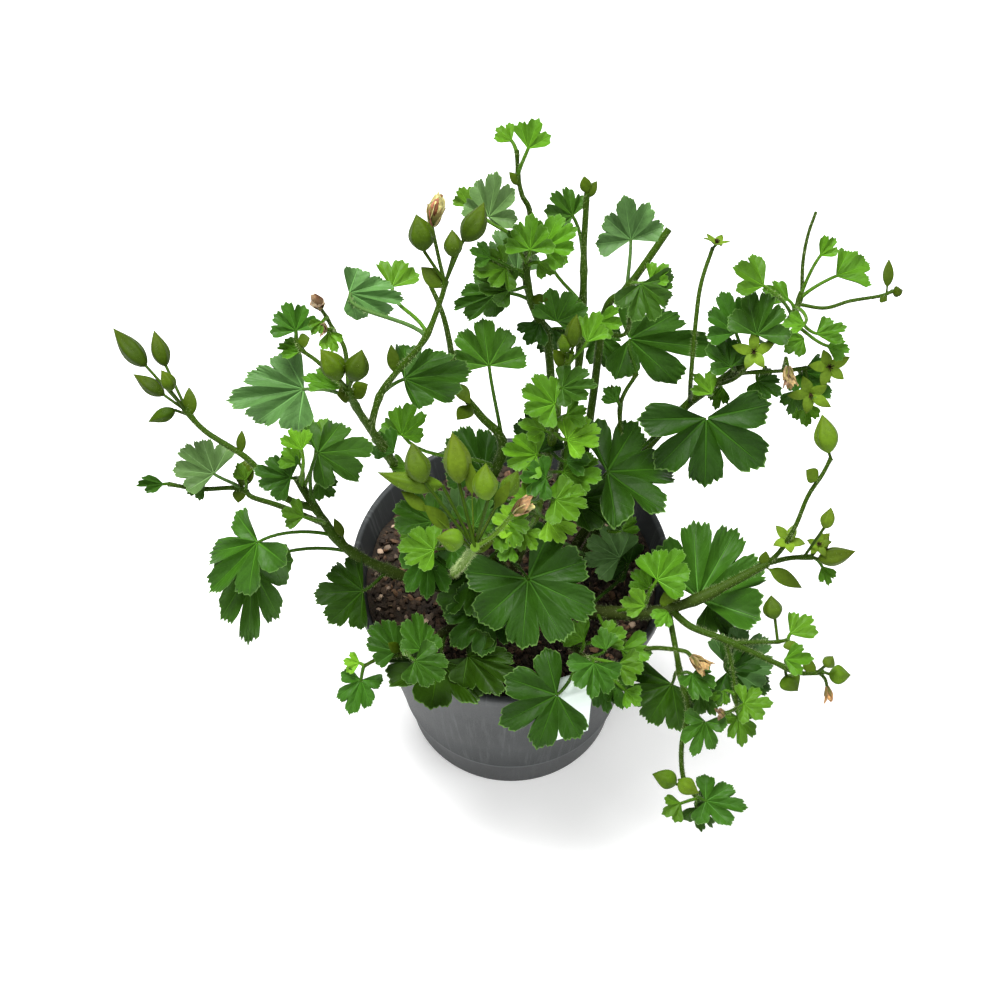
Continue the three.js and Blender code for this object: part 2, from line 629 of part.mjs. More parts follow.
// The place, direction and size of one leaf's blade.
function bladeFrame(base, tip, kind, width) {
  const forward = tip.clone().sub(base).normalize();
  const normal = LEAF_FACING.clone().addScaledVector(forward, -LEAF_FACING.dot(forward)).normalize();
  const side = normal.clone().cross(forward);
  return { base, forward, normal, side, length: base.distanceTo(tip), kind, width };
}

// A point of a blade's sheet, at an angle from the middle vein and a share of the way out to the
// edge. The edge has lobes, with cuts between them and teeth on them; the sheet cups upward,
// rises from each lobe's vein to the cuts beside it and droops a little at the edge.
function sheetPoint({ base, forward, normal, side, length, kind, width }, angle, share, tooth) {
  const { lobes, spread, cut, sharpness, taper, cup, pleat } = LEAF_KINDS[kind];
  const pitch = (2 * spread) / lobes;
  const outermost = (lobes - 1) / 2;
  const lobe = THREE.MathUtils.clamp(Math.round(angle / pitch), -outermost, outermost);
  const off = Math.min(1, Math.abs(angle / pitch - lobe) * 2);
  const reach = (1 - taper * Math.abs(lobe)) * (1 - cut * off ** sharpness) * (1 - tooth);
  const distance = reach * share * length;
  const turn = THREE.MathUtils.degToRad(angle);
  const height = length * (cup * share ** 2 + pleat * share * off ** 2 - EDGE_DROOP * share ** 4);
  return base.clone()
    .addScaledVector(forward, Math.cos(turn) * distance)
    .addScaledVector(side, Math.sin(turn) * distance * width)
    .addScaledVector(normal, height);
}

// A leaf with its petiole as one closed body. The blade has the same triangles on both faces: a
// fan from the petiole's end out to the lobed edge, over a ring of points halfway on big leaves.
function leafSolid(from, base, tip, kind, width) {
  const blade = bladeFrame(base, tip, kind, width);
  const { lobes, spread } = LEAF_KINDS[kind];
  const big = blade.length > BIG_LEAF;
  const small = blade.length < (kind === 'young' ? SMALL_YOUNG_LEAF : SMALL_LEAF);
  const edgeSteps = small ? 2 : big && lobes === 5 ? 6 : 4;
  const ringSteps = 2;

  const points = [];
  const faces = [];
  const addPair = (point) => {
    points.push(point.clone().addScaledVector(blade.normal, BLADE_THICKNESS / 2));
    points.push(point.clone().addScaledVector(blade.normal, -BLADE_THICKNESS / 2));
    return points.length - 2;
  };
  const addBoth = (a, b, c) => faces.push([a, b, c], [a + 1, c + 1, b + 1]);
  const addRow = (steps, share) => Array.from({ length: lobes * steps + 1 }, (_, i) => {
    const toothed = steps === 6 && i % 2 === 0 && i % 6 !== 0;
    const angle = -spread + (2 * spread * i) / (lobes * steps);
    return addPair(sheetPoint(blade, angle, share, toothed ? TOOTH_DEPTH : 0));
  });

  const left = addPair(base.clone().addScaledVector(blade.side, PETIOLE_WIDTH / 2));
  const right = addPair(base.clone().addScaledVector(blade.side, -PETIOLE_WIDTH / 2));
  const edge = addRow(edgeSteps, 1);
  const inner = big ? addRow(ringSteps, INNER_RING) : edge;
  if (big) {
    const span = edgeSteps / ringSteps;
    for (let i = 0; i + 1 < inner.length; i += 1) {
      const turn = Math.floor(span / 2) + (span % 2 === 1 && i % 2 === 1 ? 1 : 0);
      for (let k = 0; k < span; k += 1) {
        addBoth(k < turn ? inner[i] : inner[i + 1], edge[i * span + k], edge[i * span + k + 1]);
      }
      addBoth(inner[i], edge[i * span + turn], inner[i + 1]);
    }
  }
  const middle = Math.floor((inner.length - 1) / 2);
  for (let i = 0; i + 1 < inner.length; i += 1) {
    addBoth(i < middle ? right : left, inner[i], inner[i + 1]);
  }
  addBoth(right, inner[middle], left);

  const rim = big ? [inner[0], ...edge, inner[inner.length - 1]] : edge;
  const border = [right, ...rim, left];
  for (let i = 0; i + 1 < border.length; i += 1) {
    const [a, b] = [border[i], border[i + 1]];
    faces.push([a + 1, b + 1, b], [a + 1, b, a]);
  }
  growPetiole(from, blade, [left, right, right + 1, left + 1], points, faces);
  return solid(points, faces);
}

// A petiole of three sides, from the stem to the four corners of the blade's collar. It turns into
// the blade less than a right angle away from the middle vein, whichever side the stem lies on.
function growPetiole(from, { base, forward, normal }, collar, points, faces) {
  const gap = from.distanceTo(base);
  const chord = base.clone().sub(from).normalize();
  const ahead = chord.dot(forward);
  const flat = THREE.MathUtils.clamp(0.35 + 0.65 * ahead, 0.2, 0.8);
  const aside = chord.clone().addScaledVector(forward, -ahead).addScaledVector(normal, 0.05).normalize();
  const arrival = forward.clone().multiplyScalar(flat).addScaledVector(aside, 1 - flat).normalize();
  const departure = UP.clone().addScaledVector(chord, 1.2).normalize();
  const bendNearStem = from.clone().addScaledVector(departure, 0.3 * gap);
  const bendNearBlade = base.clone().addScaledVector(arrival, -0.32 * gap);
  const spans = gap > LONG_PETIOLE ? 3 : gap > SHORT_PETIOLE ? 2 : 1;
  const centres = new THREE.CubicBezierCurve3(from, bendNearStem, bendNearBlade, base).getPoints(spans);

  const section = [[0.45, 0.24], [-0.45, 0.24], [0, -0.4]];
  let last = collar;
  let heading = forward;
  let above = normal.clone();
  for (let i = spans - 1; i >= 0; i -= 1) {
    const tangent = centres[i + 1].clone().sub(centres[Math.max(i - 1, 0)]).normalize();
    above = above.clone().applyQuaternion(new THREE.Quaternion().setFromUnitVectors(heading, tangent));
    heading = tangent;
    const across = above.clone().cross(tangent);
    const ring = section.map(([sideways, upward]) => {
      const corner = centres[i].clone().addScaledVector(across, sideways * PETIOLE_WIDTH);
      points.push(corner.addScaledVector(above, upward * PETIOLE_WIDTH));
      return points.length - 1;
    });
    const under = last[last.length - 1];
    faces.push([ring[0], ring[1], last[1]], [ring[0], last[1], last[0]]);
    faces.push([ring[1], ring[2], last[2]], [ring[1], last[2], last[1]]);
    faces.push([ring[2], ring[0], last[0]], [ring[2], last[0], under]);
    if (last.length > 3) faces.push([ring[2], under, last[2]]);
    last = ring;
  }
  faces.push([last[0], last[2], last[1]]);
}

// A bud on its pedicel: a thin stalk that swells and closes in a point.
function budSolid(from, base, tip, radius) {
  const path = [from, base, base.clone().lerp(tip, 0.3), base.clone().lerp(tip, 0.7), tip];
  const widths = [PEDICEL_RADIUS, 1.15 * PEDICEL_RADIUS, radius, 0.78 * radius, 0];
  return swept(path, widths, widths, 4, TO_VIEWER);
}

// A pointed bract: a thin flat spear on the stem, arched towards the light. Its widest place is
// halfway out or, where its stalk is long, a set number of widths before its tip.
function bractSolid(from, tip, width) {
  const length = from.distanceTo(tip);
  const share = Math.max(0.55, 1 - (BRACT_SLENDERNESS * width) / length);
  const middle = from.clone().lerp(tip, share).addScaledVector(LEAF_FACING, BRACT_ARCH * length);
  const widths = [PEDICEL_RADIUS, width / 2, 0];
  const heights = [PEDICEL_RADIUS, BRACT_HALF_THICKNESS, 0];
  return swept([from, middle, tip], widths, heights, 3, LEAF_FACING);
}

// A stem of a shoot: a main one rises from the peat, and a side stem starts on its parent.
function growStem(grown, root, [, parent, along, places, startRadius, endRadius]) {
  const points = places.map(place);
  if (parent) {
    return new Stem([grown[parent].at(along), ...points], startRadius, endRadius, 1, SIDE_SIDES);
  }
  const collar = new THREE.Vector3(...root, SOIL_TOP + STEM_RISE);
  const foot = new THREE.Vector3(...root, SOIL_TOP - HOLE_DEPTH + 1);
  return new Stem([collar, ...points], startRadius, endRadius, 2, MAIN_SIDES, [foot]);
}

// One leafy stem: its stems, leaves, buds and bracts joined in one body.
function shoot({ root, stems, leaves, buds, bracts }) {
  const grown = {};
  const pieces = [];
  for (const row of stems) {
    const stem = growStem(grown, root, row);
    grown[row[0]] = stem;
    pieces.push(stem.solid());
  }
  for (const [stem, along, base, tip, kind, width] of leaves) {
    pieces.push(leafSolid(grown[stem].at(along), place(base), place(tip), kind, width));
  }
  for (const [stem, along, base, tip, radius] of buds) {
    pieces.push(budSolid(grown[stem].at(along), place(base), place(tip), radius));
  }
  for (const [stem, along, tip, width] of bracts) {
    pieces.push(bractSolid(grown[stem].at(along), place(tip), width));
  }
  return pieces.reduce((whole, piece) => whole.add(piece));
}

// A dried flower: a cup that flares and closes again round a crumpled middle, with petals standing
// out and up between folds. Each ring of it has a share of the length, a share of the width and how
// strongly the petals stand out of it.
const BLOOM_RINGS = [[0, 0.2, 0], [0.4, 0.8, 0.15], [0.95, 0.7, 0.45], [0.6, 0.2, 0]];

function bloomSolid(seat, tip, width, petals) {
  const axis = tip.clone().sub(seat).normalize();
  const start = seat.clone().addScaledVector(axis, SEAT_GAP);
  const length = start.distanceTo(tip);
  const across = UP.clone().cross(axis).normalize();
  const sides = 2 * petals;
  const points = [];
  const faces = [];
  for (const [share, wide, ruffle] of BLOOM_RINGS) {
    for (let k = 0; k < sides; k += 1) {
      const stand = k % 2 === 0 ? ruffle : -ruffle;
      const outward = across.clone().applyAxisAngle(axis, (2 * Math.PI * k) / sides);
      const point = start.clone().addScaledVector(axis, share * length * (1 + 0.4 * stand));
      points.push(point.addScaledVector(outward, 0.5 * width * wide * (1 + stand)));
    }
  }
  const end = (BLOOM_RINGS.length - 1) * sides;
  for (let k = 0; k < sides; k += 1) {
    const next = (k + 1) % sides;
    for (let low = 0; low < end; low += sides) {
      const high = low + sides;
      faces.push([low + k, low + next, high + next], [low + k, high + next, high + k]);
    }
    if (k > 0 && k + 1 < sides) faces.push([0, k + 1, k], [end, end + k, end + k + 1]);
  }
  return solid(points, faces);
}

// The radius of the pot's wall outside and inside, at a height above its underside.
function wallOutside(height) {
  return THREE.MathUtils.lerp(BASE_RADIUS, RIM_RADIUS - LIP_WIDTH, height / POT_HEIGHT);
}

function wallInside(height) {
  const low = wallOutside(FLOOR_THICKNESS) - WALL - FOOT_STEP;
  const share = (height - FLOOR_THICKNESS) / (POT_HEIGHT - FLOOR_THICKNESS);
  return THREE.MathUtils.lerp(low, RIM_RADIUS - LIP_WIDTH, share);
}

// A plain upright hole to cut: a prism whose flats lie at the radius.
function holeSolid(x, y, radius, bottom, top) {
  const corner = radius / Math.cos(Math.PI / HOLE_SIDES);
  const hole = new THREE.CylinderGeometry(corner, corner, top - bottom, HOLE_SIDES);
  hole.rotateX(Math.PI / 2);
  hole.translate(x, y, (top + bottom) / 2);
  return solidOf(hole);
}

// The pot: a lathe turned round +Z, with a rolled lip, a foot band and drain holes in the floor.
function potSolid() {
  const lipFoot = POT_HEIGHT - LIP_HEIGHT;
  const profile = [
    [0, 0],
    [BASE_RADIUS - 1.2, 0],
    [BASE_RADIUS, 1.2],
    [wallOutside(FOOT_HEIGHT) - FOOT_STEP, FOOT_HEIGHT - 1],
    [wallOutside(FOOT_HEIGHT), FOOT_HEIGHT],
    [wallOutside(lipFoot), lipFoot],
    [RIM_RADIUS - 0.4, lipFoot],
    [RIM_RADIUS, POT_HEIGHT - 1],
    [RIM_RADIUS - 1, POT_HEIGHT],
    [wallInside(POT_HEIGHT), POT_HEIGHT],
    [wallInside(FLOOR_THICKNESS), FLOOR_THICKNESS],
    [0, FLOOR_THICKNESS],
  ].map(([radius, height]) => new THREE.Vector2(radius, height));
  const turned = new THREE.LatheGeometry(profile, POT_SEGMENTS);
  turned.rotateX(Math.PI / 2);
  let pot = solidOf(turned);
  for (let i = 0; i < DRAIN_COUNT; i += 1) {
    const angle = (2 * Math.PI * (i + 0.5)) / DRAIN_COUNT;
    const [x, y] = [DRAIN_CIRCLE * Math.cos(angle), DRAIN_CIRCLE * Math.sin(angle)];
    pot = pot.subtract(holeSolid(x, y, DRAIN_RADIUS, -1, FLOOR_THICKNESS + 1));
  }
  return pot;
}

// How high the peat stands over its level at a place.
function mounds(x, y) {
  const heights = SOIL_MOUNDS.map(({ height, alongX, alongY }) => height * Math.sin(alongX * x + alongY * y));
  return heights.reduce((sum, height) => sum + height, 0);
}

// The peat: a plug that fills the pot, with a rough top and a plain hole for each stem's foot.
function soilSolid(feet) {
  const flats = Math.cos(Math.PI / POT_SEGMENTS);
  const bottom = FLOOR_THICKNESS + SOIL_GAP;
  const topRadius = wallInside(SOIL_TOP) * flats - SOIL_GAP;
  const bottomRadius = wallInside(bottom) * flats - SOIL_GAP;
  const points = [new THREE.Vector3(0, 0, SOIL_TOP + mounds(0, 0))];
  const ring = (number, radius, heightAt) => {
    for (let k = 0; k < SOIL_SEGMENTS; k += 1) {
      const angle = (2 * Math.PI * k) / SOIL_SEGMENTS;
      const [x, y] = [radius * Math.cos(angle), radius * Math.sin(angle)];
      points.push(new THREE.Vector3(x, y, heightAt(x, y)));
    }
    return 1 + number * SOIL_SEGMENTS;
  };
  const rings = Array.from({ length: SOIL_RINGS }, (_, i) =>
    ring(i, (topRadius * (i + 1)) / SOIL_RINGS, (x, y) => SOIL_TOP + mounds(x, y)));
  rings.push(ring(SOIL_RINGS, bottomRadius, () => bottom));

  const faces = [];
  const low = rings[SOIL_RINGS];
  for (let k = 0; k < SOIL_SEGMENTS; k += 1) {
    const next = (k + 1) % SOIL_SEGMENTS;
    faces.push([0, rings[0] + k, rings[0] + next]);
    for (let i = 0; i < SOIL_RINGS; i += 1) {
      const [inner, outer] = [rings[i], rings[i + 1]];
      faces.push([inner + k, outer + k, outer + next], [inner + k, outer + next, inner + next]);
    }
    if (k > 0 && k + 1 < SOIL_SEGMENTS) faces.push([low, low + k + 1, low + k]);
  }
  const holes = feet.map(({ root: [x, y], radius }) =>
    holeSolid(x, y, radius + HOLE_CLEARANCE, SOIL_TOP - HOLE_DEPTH, SOIL_TOP + HOLE_DEPTH));
  return holes.reduce((soil, hole) => soil.subtract(hole), solid(points, faces));
}

// The label: a thin strip folded over the rim, long outside and short inside.
function labelGeometry() {
  const outside = RIM_RADIUS + LABEL_GAP;
  const over = POT_HEIGHT + LABEL_GAP;
  const low = over - LABEL_OUTER_LENGTH;
  const innerLow = over - LABEL_INNER_LENGTH;
  const outline = [
    [outside, over],
    [outside - LABEL_LEAN, low],
    [outside - LABEL_LEAN + LABEL_THICKNESS, low],
    [outside + LABEL_THICKNESS, over + LABEL_THICKNESS],
    [LABEL_INNER_RADIUS - LABEL_THICKNESS, over + LABEL_THICKNESS],
    [LABEL_INNER_RADIUS - LABEL_THICKNESS, innerLow],
    [LABEL_INNER_RADIUS, innerLow],
    [LABEL_INNER_RADIUS, over],
  ].map(([radius, height]) => new THREE.Vector2(radius, height));
  const shape = new THREE.Shape(outline);
  const strip = new THREE.ExtrudeGeometry(shape, { depth: LABEL_WIDTH, bevelEnabled: false });
  strip.translate(0, 0, -LABEL_WIDTH / 2);
  strip.rotateX(Math.PI / 2);
  return strip;
}

function mesh(name, geometry, colour, roughness) {
  const material = new THREE.MeshStandardMaterial({ color: colour, roughness, metalness: 0 });
  const piece = new THREE.Mesh(geometry, material);
  piece.name = name;
  return piece;
}

const plant = new THREE.Group();
plant.add(mesh('pot', geometryOf(potSolid()), 0x4a4d4f, 0.45));

const feet = Object.values(SHOOTS).map(({ root, stems }) => ({ root, radius: stems[0][4] }));
plant.add(mesh('soil', geometryOf(soilSolid(feet)), 0x33241a, 0.95));

const label = mesh('label', labelGeometry(), 0xe9f0ea, 0.5);
label.rotation.z = LABEL_AZIMUTH;
plant.add(label);

for (const [name, entry] of Object.entries(SHOOTS)) {
  plant.add(mesh(name, geometryOf(shoot(entry)), 0x3f7a2b, 0.6));
}

for (const [name, seat, tip, width, petals, colour] of BLOOMS) {
  plant.add(mesh(name, geometryOf(bloomSolid(place(seat), place(tip), width, petals)), colour, 0.8));
}

export default plant;
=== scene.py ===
"""A potted angel pelargonium, dressed piece by piece over its solid frame.

Each leafy stem gets stems, leaves, buds and hairs of its own. Their places are read in a picture
taken from above the front, with a height for each, so they lie where the frame's solids are.
Shapes are worked out in millimetres and written into their meshes in metres.
"""

import bpy
import numpy as np
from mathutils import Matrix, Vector


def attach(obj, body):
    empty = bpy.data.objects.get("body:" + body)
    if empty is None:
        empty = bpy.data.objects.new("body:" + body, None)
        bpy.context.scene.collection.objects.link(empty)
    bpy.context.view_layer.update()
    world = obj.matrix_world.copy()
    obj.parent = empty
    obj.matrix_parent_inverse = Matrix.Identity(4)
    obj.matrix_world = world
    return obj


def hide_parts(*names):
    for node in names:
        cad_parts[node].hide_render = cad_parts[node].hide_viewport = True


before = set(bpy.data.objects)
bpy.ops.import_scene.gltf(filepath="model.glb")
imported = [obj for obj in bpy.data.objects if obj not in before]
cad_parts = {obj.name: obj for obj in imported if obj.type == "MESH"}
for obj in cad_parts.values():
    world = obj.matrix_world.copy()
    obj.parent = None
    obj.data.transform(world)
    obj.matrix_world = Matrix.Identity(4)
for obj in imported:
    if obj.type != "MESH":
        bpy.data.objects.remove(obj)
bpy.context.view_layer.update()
frame_scene = bpy.context.scene
rng = np.random.default_rng(17)

METRE = 0.001
SHARP_ANGLE = np.radians(50)

# Pot
RIM_RADIUS = 60.0
POT_HEIGHT = 98.0
BASE_RADIUS = 42.0
WALL = 1.4
LIP_WIDTH = 2.6
LIP_HEIGHT = 6.0
FOOT_HEIGHT = 19.0
FOOT_STEP = 0.8
FLOOR_THICKNESS = 1.6
DRAIN_RADIUS = 4.0
DRAIN_CIRCLE = 28.0
POT_SEGMENTS = 128

# Peat
SOIL_TOP = 86.0
SOIL_GAP = 0.4
STEM_RISE = 3.0
SOIL_SEGMENTS = 160
SOIL_RINGS = 56

# The broad mounds of the peat's top: height, and how fast each goes up and down along X and Y.
SOIL_MOUNDS = ((0.8, 0.19, 0.23), (0.5, 0.33, 0.29))

# Loose bits on the peat, up to a little way from the pot's wall: how many, their smallest and
# largest radius, how they are stretched, their tone, and how high above the peat their middles
# lie, as a share of their radius.
BITS_FROM_WALL = 2.5
PEAT_BITS = (
    (2400, (0.7, 1.8), (1, 0.8, 0.7), (0.040, 0.022, 0.010), 0.35),
    (420, (0.9, 2.0), (1.2, 0.8, 0.55), (0.140, 0.074, 0.036), 0.4),
    (130, (0.8, 1.9), (1, 0.9, 0.8), (0.420, 0.300, 0.210), 0.5),
    (130, (0.7, 1.5), (2.4, 0.25, 0.25), (0.150, 0.100, 0.050), 0.5),
)

# Label
LABEL_WIDTH = 19.0
LABEL_THICKNESS = 0.7
LABEL_OUTER_LENGTH = 33.0
LABEL_INNER_LENGTH = 9.0
LABEL_AZIMUTH = np.radians(-71.0)
LABEL_GAP = 0.4
LABEL_LEAN = 1.0
LABEL_INNER_RADIUS = 54.0

# Leaves
BLADE_THICKNESS = 0.34
EDGE_THINNING = 0.55
PETIOLE_RADIUS = 0.68
LARGE_LEAF = 22.0
SMALL_LEAF = 12.0

# How far a leaf may lean to a side, what its cuts may be of the depth that their kind has, how
# much longer or shorter a lobe may be, and how deep its notches and teeth are, as shares of its
# reach. Then how far its edge droops, and how high and how many its waves and its ruffles are.
LEAF_LEAN = 0.26
CUT_RANGE = (0.55, 1.35)
LOBE_RANGE = (-0.07, 0.06)
NOTCH_DEPTH = 0.05
TOOTH_RANGE = (0.012, 0.045)
EDGE_DROOP = 0.1
WAVE_HEIGHT = 0.07
WAVES = 3
RUFFLE_HEIGHT = 0.034
RUFFLES = 11

# How many steps a stem takes from one of its places to the next, how far before its end the last
# twig or petiole leaves it (in steps), how much it swells where one leaves it, and how far the
# swelling reaches (in places).
STEM_STEPS = 6
STEM_END_SINK = 0.1
SWELL = 0.3
SWELL_REACH = 0.16

# The foot of a main stem: its first points below the top of the peat, and the height over which
# its tone turns into the stem's.
STEM_FOOT_DEPTHS = (8.0, 3.0)
STEM_FOOT_HEIGHT = 40.0

PEDICEL_RADIUS = 0.55
STAR_STALK_RADIUS = 0.5
SEPALS = 5

# The picture that places are read in is 1000 wide and 1000 high.
VIEW_ELEVATION = np.radians(53.2)
VIEW_DISTANCE = 560.0
VIEW_AIM_HEIGHT = 136.2
VIEW_FOCAL = 1577.0
VIEW_COLUMN = 511.0
VIEW_ROW = 500.0
PICTURE_SIZE = 1000.0
SENSOR_WIDTH = 36.0
VIEW_SIN = np.sin(VIEW_ELEVATION)
VIEW_COS = np.cos(VIEW_ELEVATION)

UP = np.array([0.0, 0.0, 1.0])
TO_VIEWER = np.array([0.0, -VIEW_COS, VIEW_SIN])
LEAF_FACING = 0.65 * TO_VIEWER + 0.35 * UP
LEAF_FACING /= np.linalg.norm(LEAF_FACING)

# The lamps: name, place and size in metres, and power in watts. They face one point.
LAMPS = (
    ("sky_lamp", (-0.2, 0.15, 1.3), 0.55, 30),
    ("window_lamp", (0.8, -0.6, 1.0), 0.8, 7),
    ("front_lamp", (-0.6, -1.1, 0.8), 0.9, 5),
)
LAMP_AIM = (0, 0, 0.15)
SKY_STRENGTH = 0.4
FLOOR_REACH = 3.0

# A leaf's lobes, the angle from the middle vein to its edge in degrees, how pointed the lobes are,
# how deep and how sharp the cuts between them are, how much shorter each lobe is than the one
# before it, how far the blade cups upward, and how far it rises from each lobe's vein to the cuts
# beside it.
LEAF_KINDS = {
    "deep": {
        "lobes": 5, "spread": 120, "point": 0.13, "cut": 0.3, "sharpness": 4.2,
        "taper": 0.06, "cup": 0.1, "pleat": 0.12,
    },
    "round": {
        "lobes": 5, "spread": 101, "point": 0.07, "cut": 0.17, "sharpness": 4.6,
        "taper": 0.05, "cup": 0.16, "pleat": 0.14,
    },
    "seven": {
        "lobes": 7, "spread": 142, "point": 0.05, "cut": 0.18, "sharpness": 4.4,
        "taper": 0.035, "cup": 0.08, "pleat": 0.12,
    },
    "young": {
        "lobes": 3, "spread": 66, "point": 0.1, "cut": 0.18, "sharpness": 3.8,
        "taper": 0.08, "cup": 0.2, "pleat": 0.12,
    },
}

# Colours of the leaves by age and by the light on them, as linear red, green and blue. The lighter
# and darker ones are partly painted light and shade, and the bluish one of the upturned leaves is a
# painted sheen of the sky.
TONES = {
    "mature": (0.026, 0.082, 0.0050),
    "dark": (0.014, 0.050, 0.0016),
    "cool": (0.060, 0.126, 0.0340),
    "fresh": (0.056, 0.150, 0.0060),
    "lime": (0.105, 0.250, 0.0120),
    "olive": (0.014, 0.042, 0.0006),
}
STEM_TONE = (0.024, 0.056, 0.0012)
PALE_STEM_TONE = (0.075, 0.150, 0.0090)
STEM_FOOT_TONE = (0.040, 0.042, 0.012)
BUD_TONE = (0.030, 0.062, 0.0008)
PALE_BUD_TONE = (0.070, 0.130, 0.0060)
BUD_TIP_TONE = (0.050, 0.082, 0.0020)
SEPAL_TIP_TONE = (0.20, 0.14, 0.05)
SEPAL_TONE = (0.120, 0.210, 0.0140)
CORE_TONE = (0.035, 0.022, 0.010)
PEDICEL_TONE = 0.6 * np.array(STEM_TONE) + 0.35 * np.array(BUD_TONE)
STAR_STALK_TONE = 0.8 * np.array(STEM_TONE)
HAIR_TONE = (0.30, 0.38, 0.15)
BUD_HAIR_TONE = (0.16, 0.22, 0.05)

# Hairs: how many on a millimetre of length, how long, their colour. Below, how thick a hair is and
# what it may be of that length.
STEM_HAIRS = (14, 1.1, HAIR_TONE)
PETIOLE_HAIRS = (7, 0.9, HAIR_TONE)
BUD_HAIRS = (10, 0.7, BUD_HAIR_TONE)
HAIR_RADIUS = 0.035
HAIR_RANGE = (0.55, 1.25)

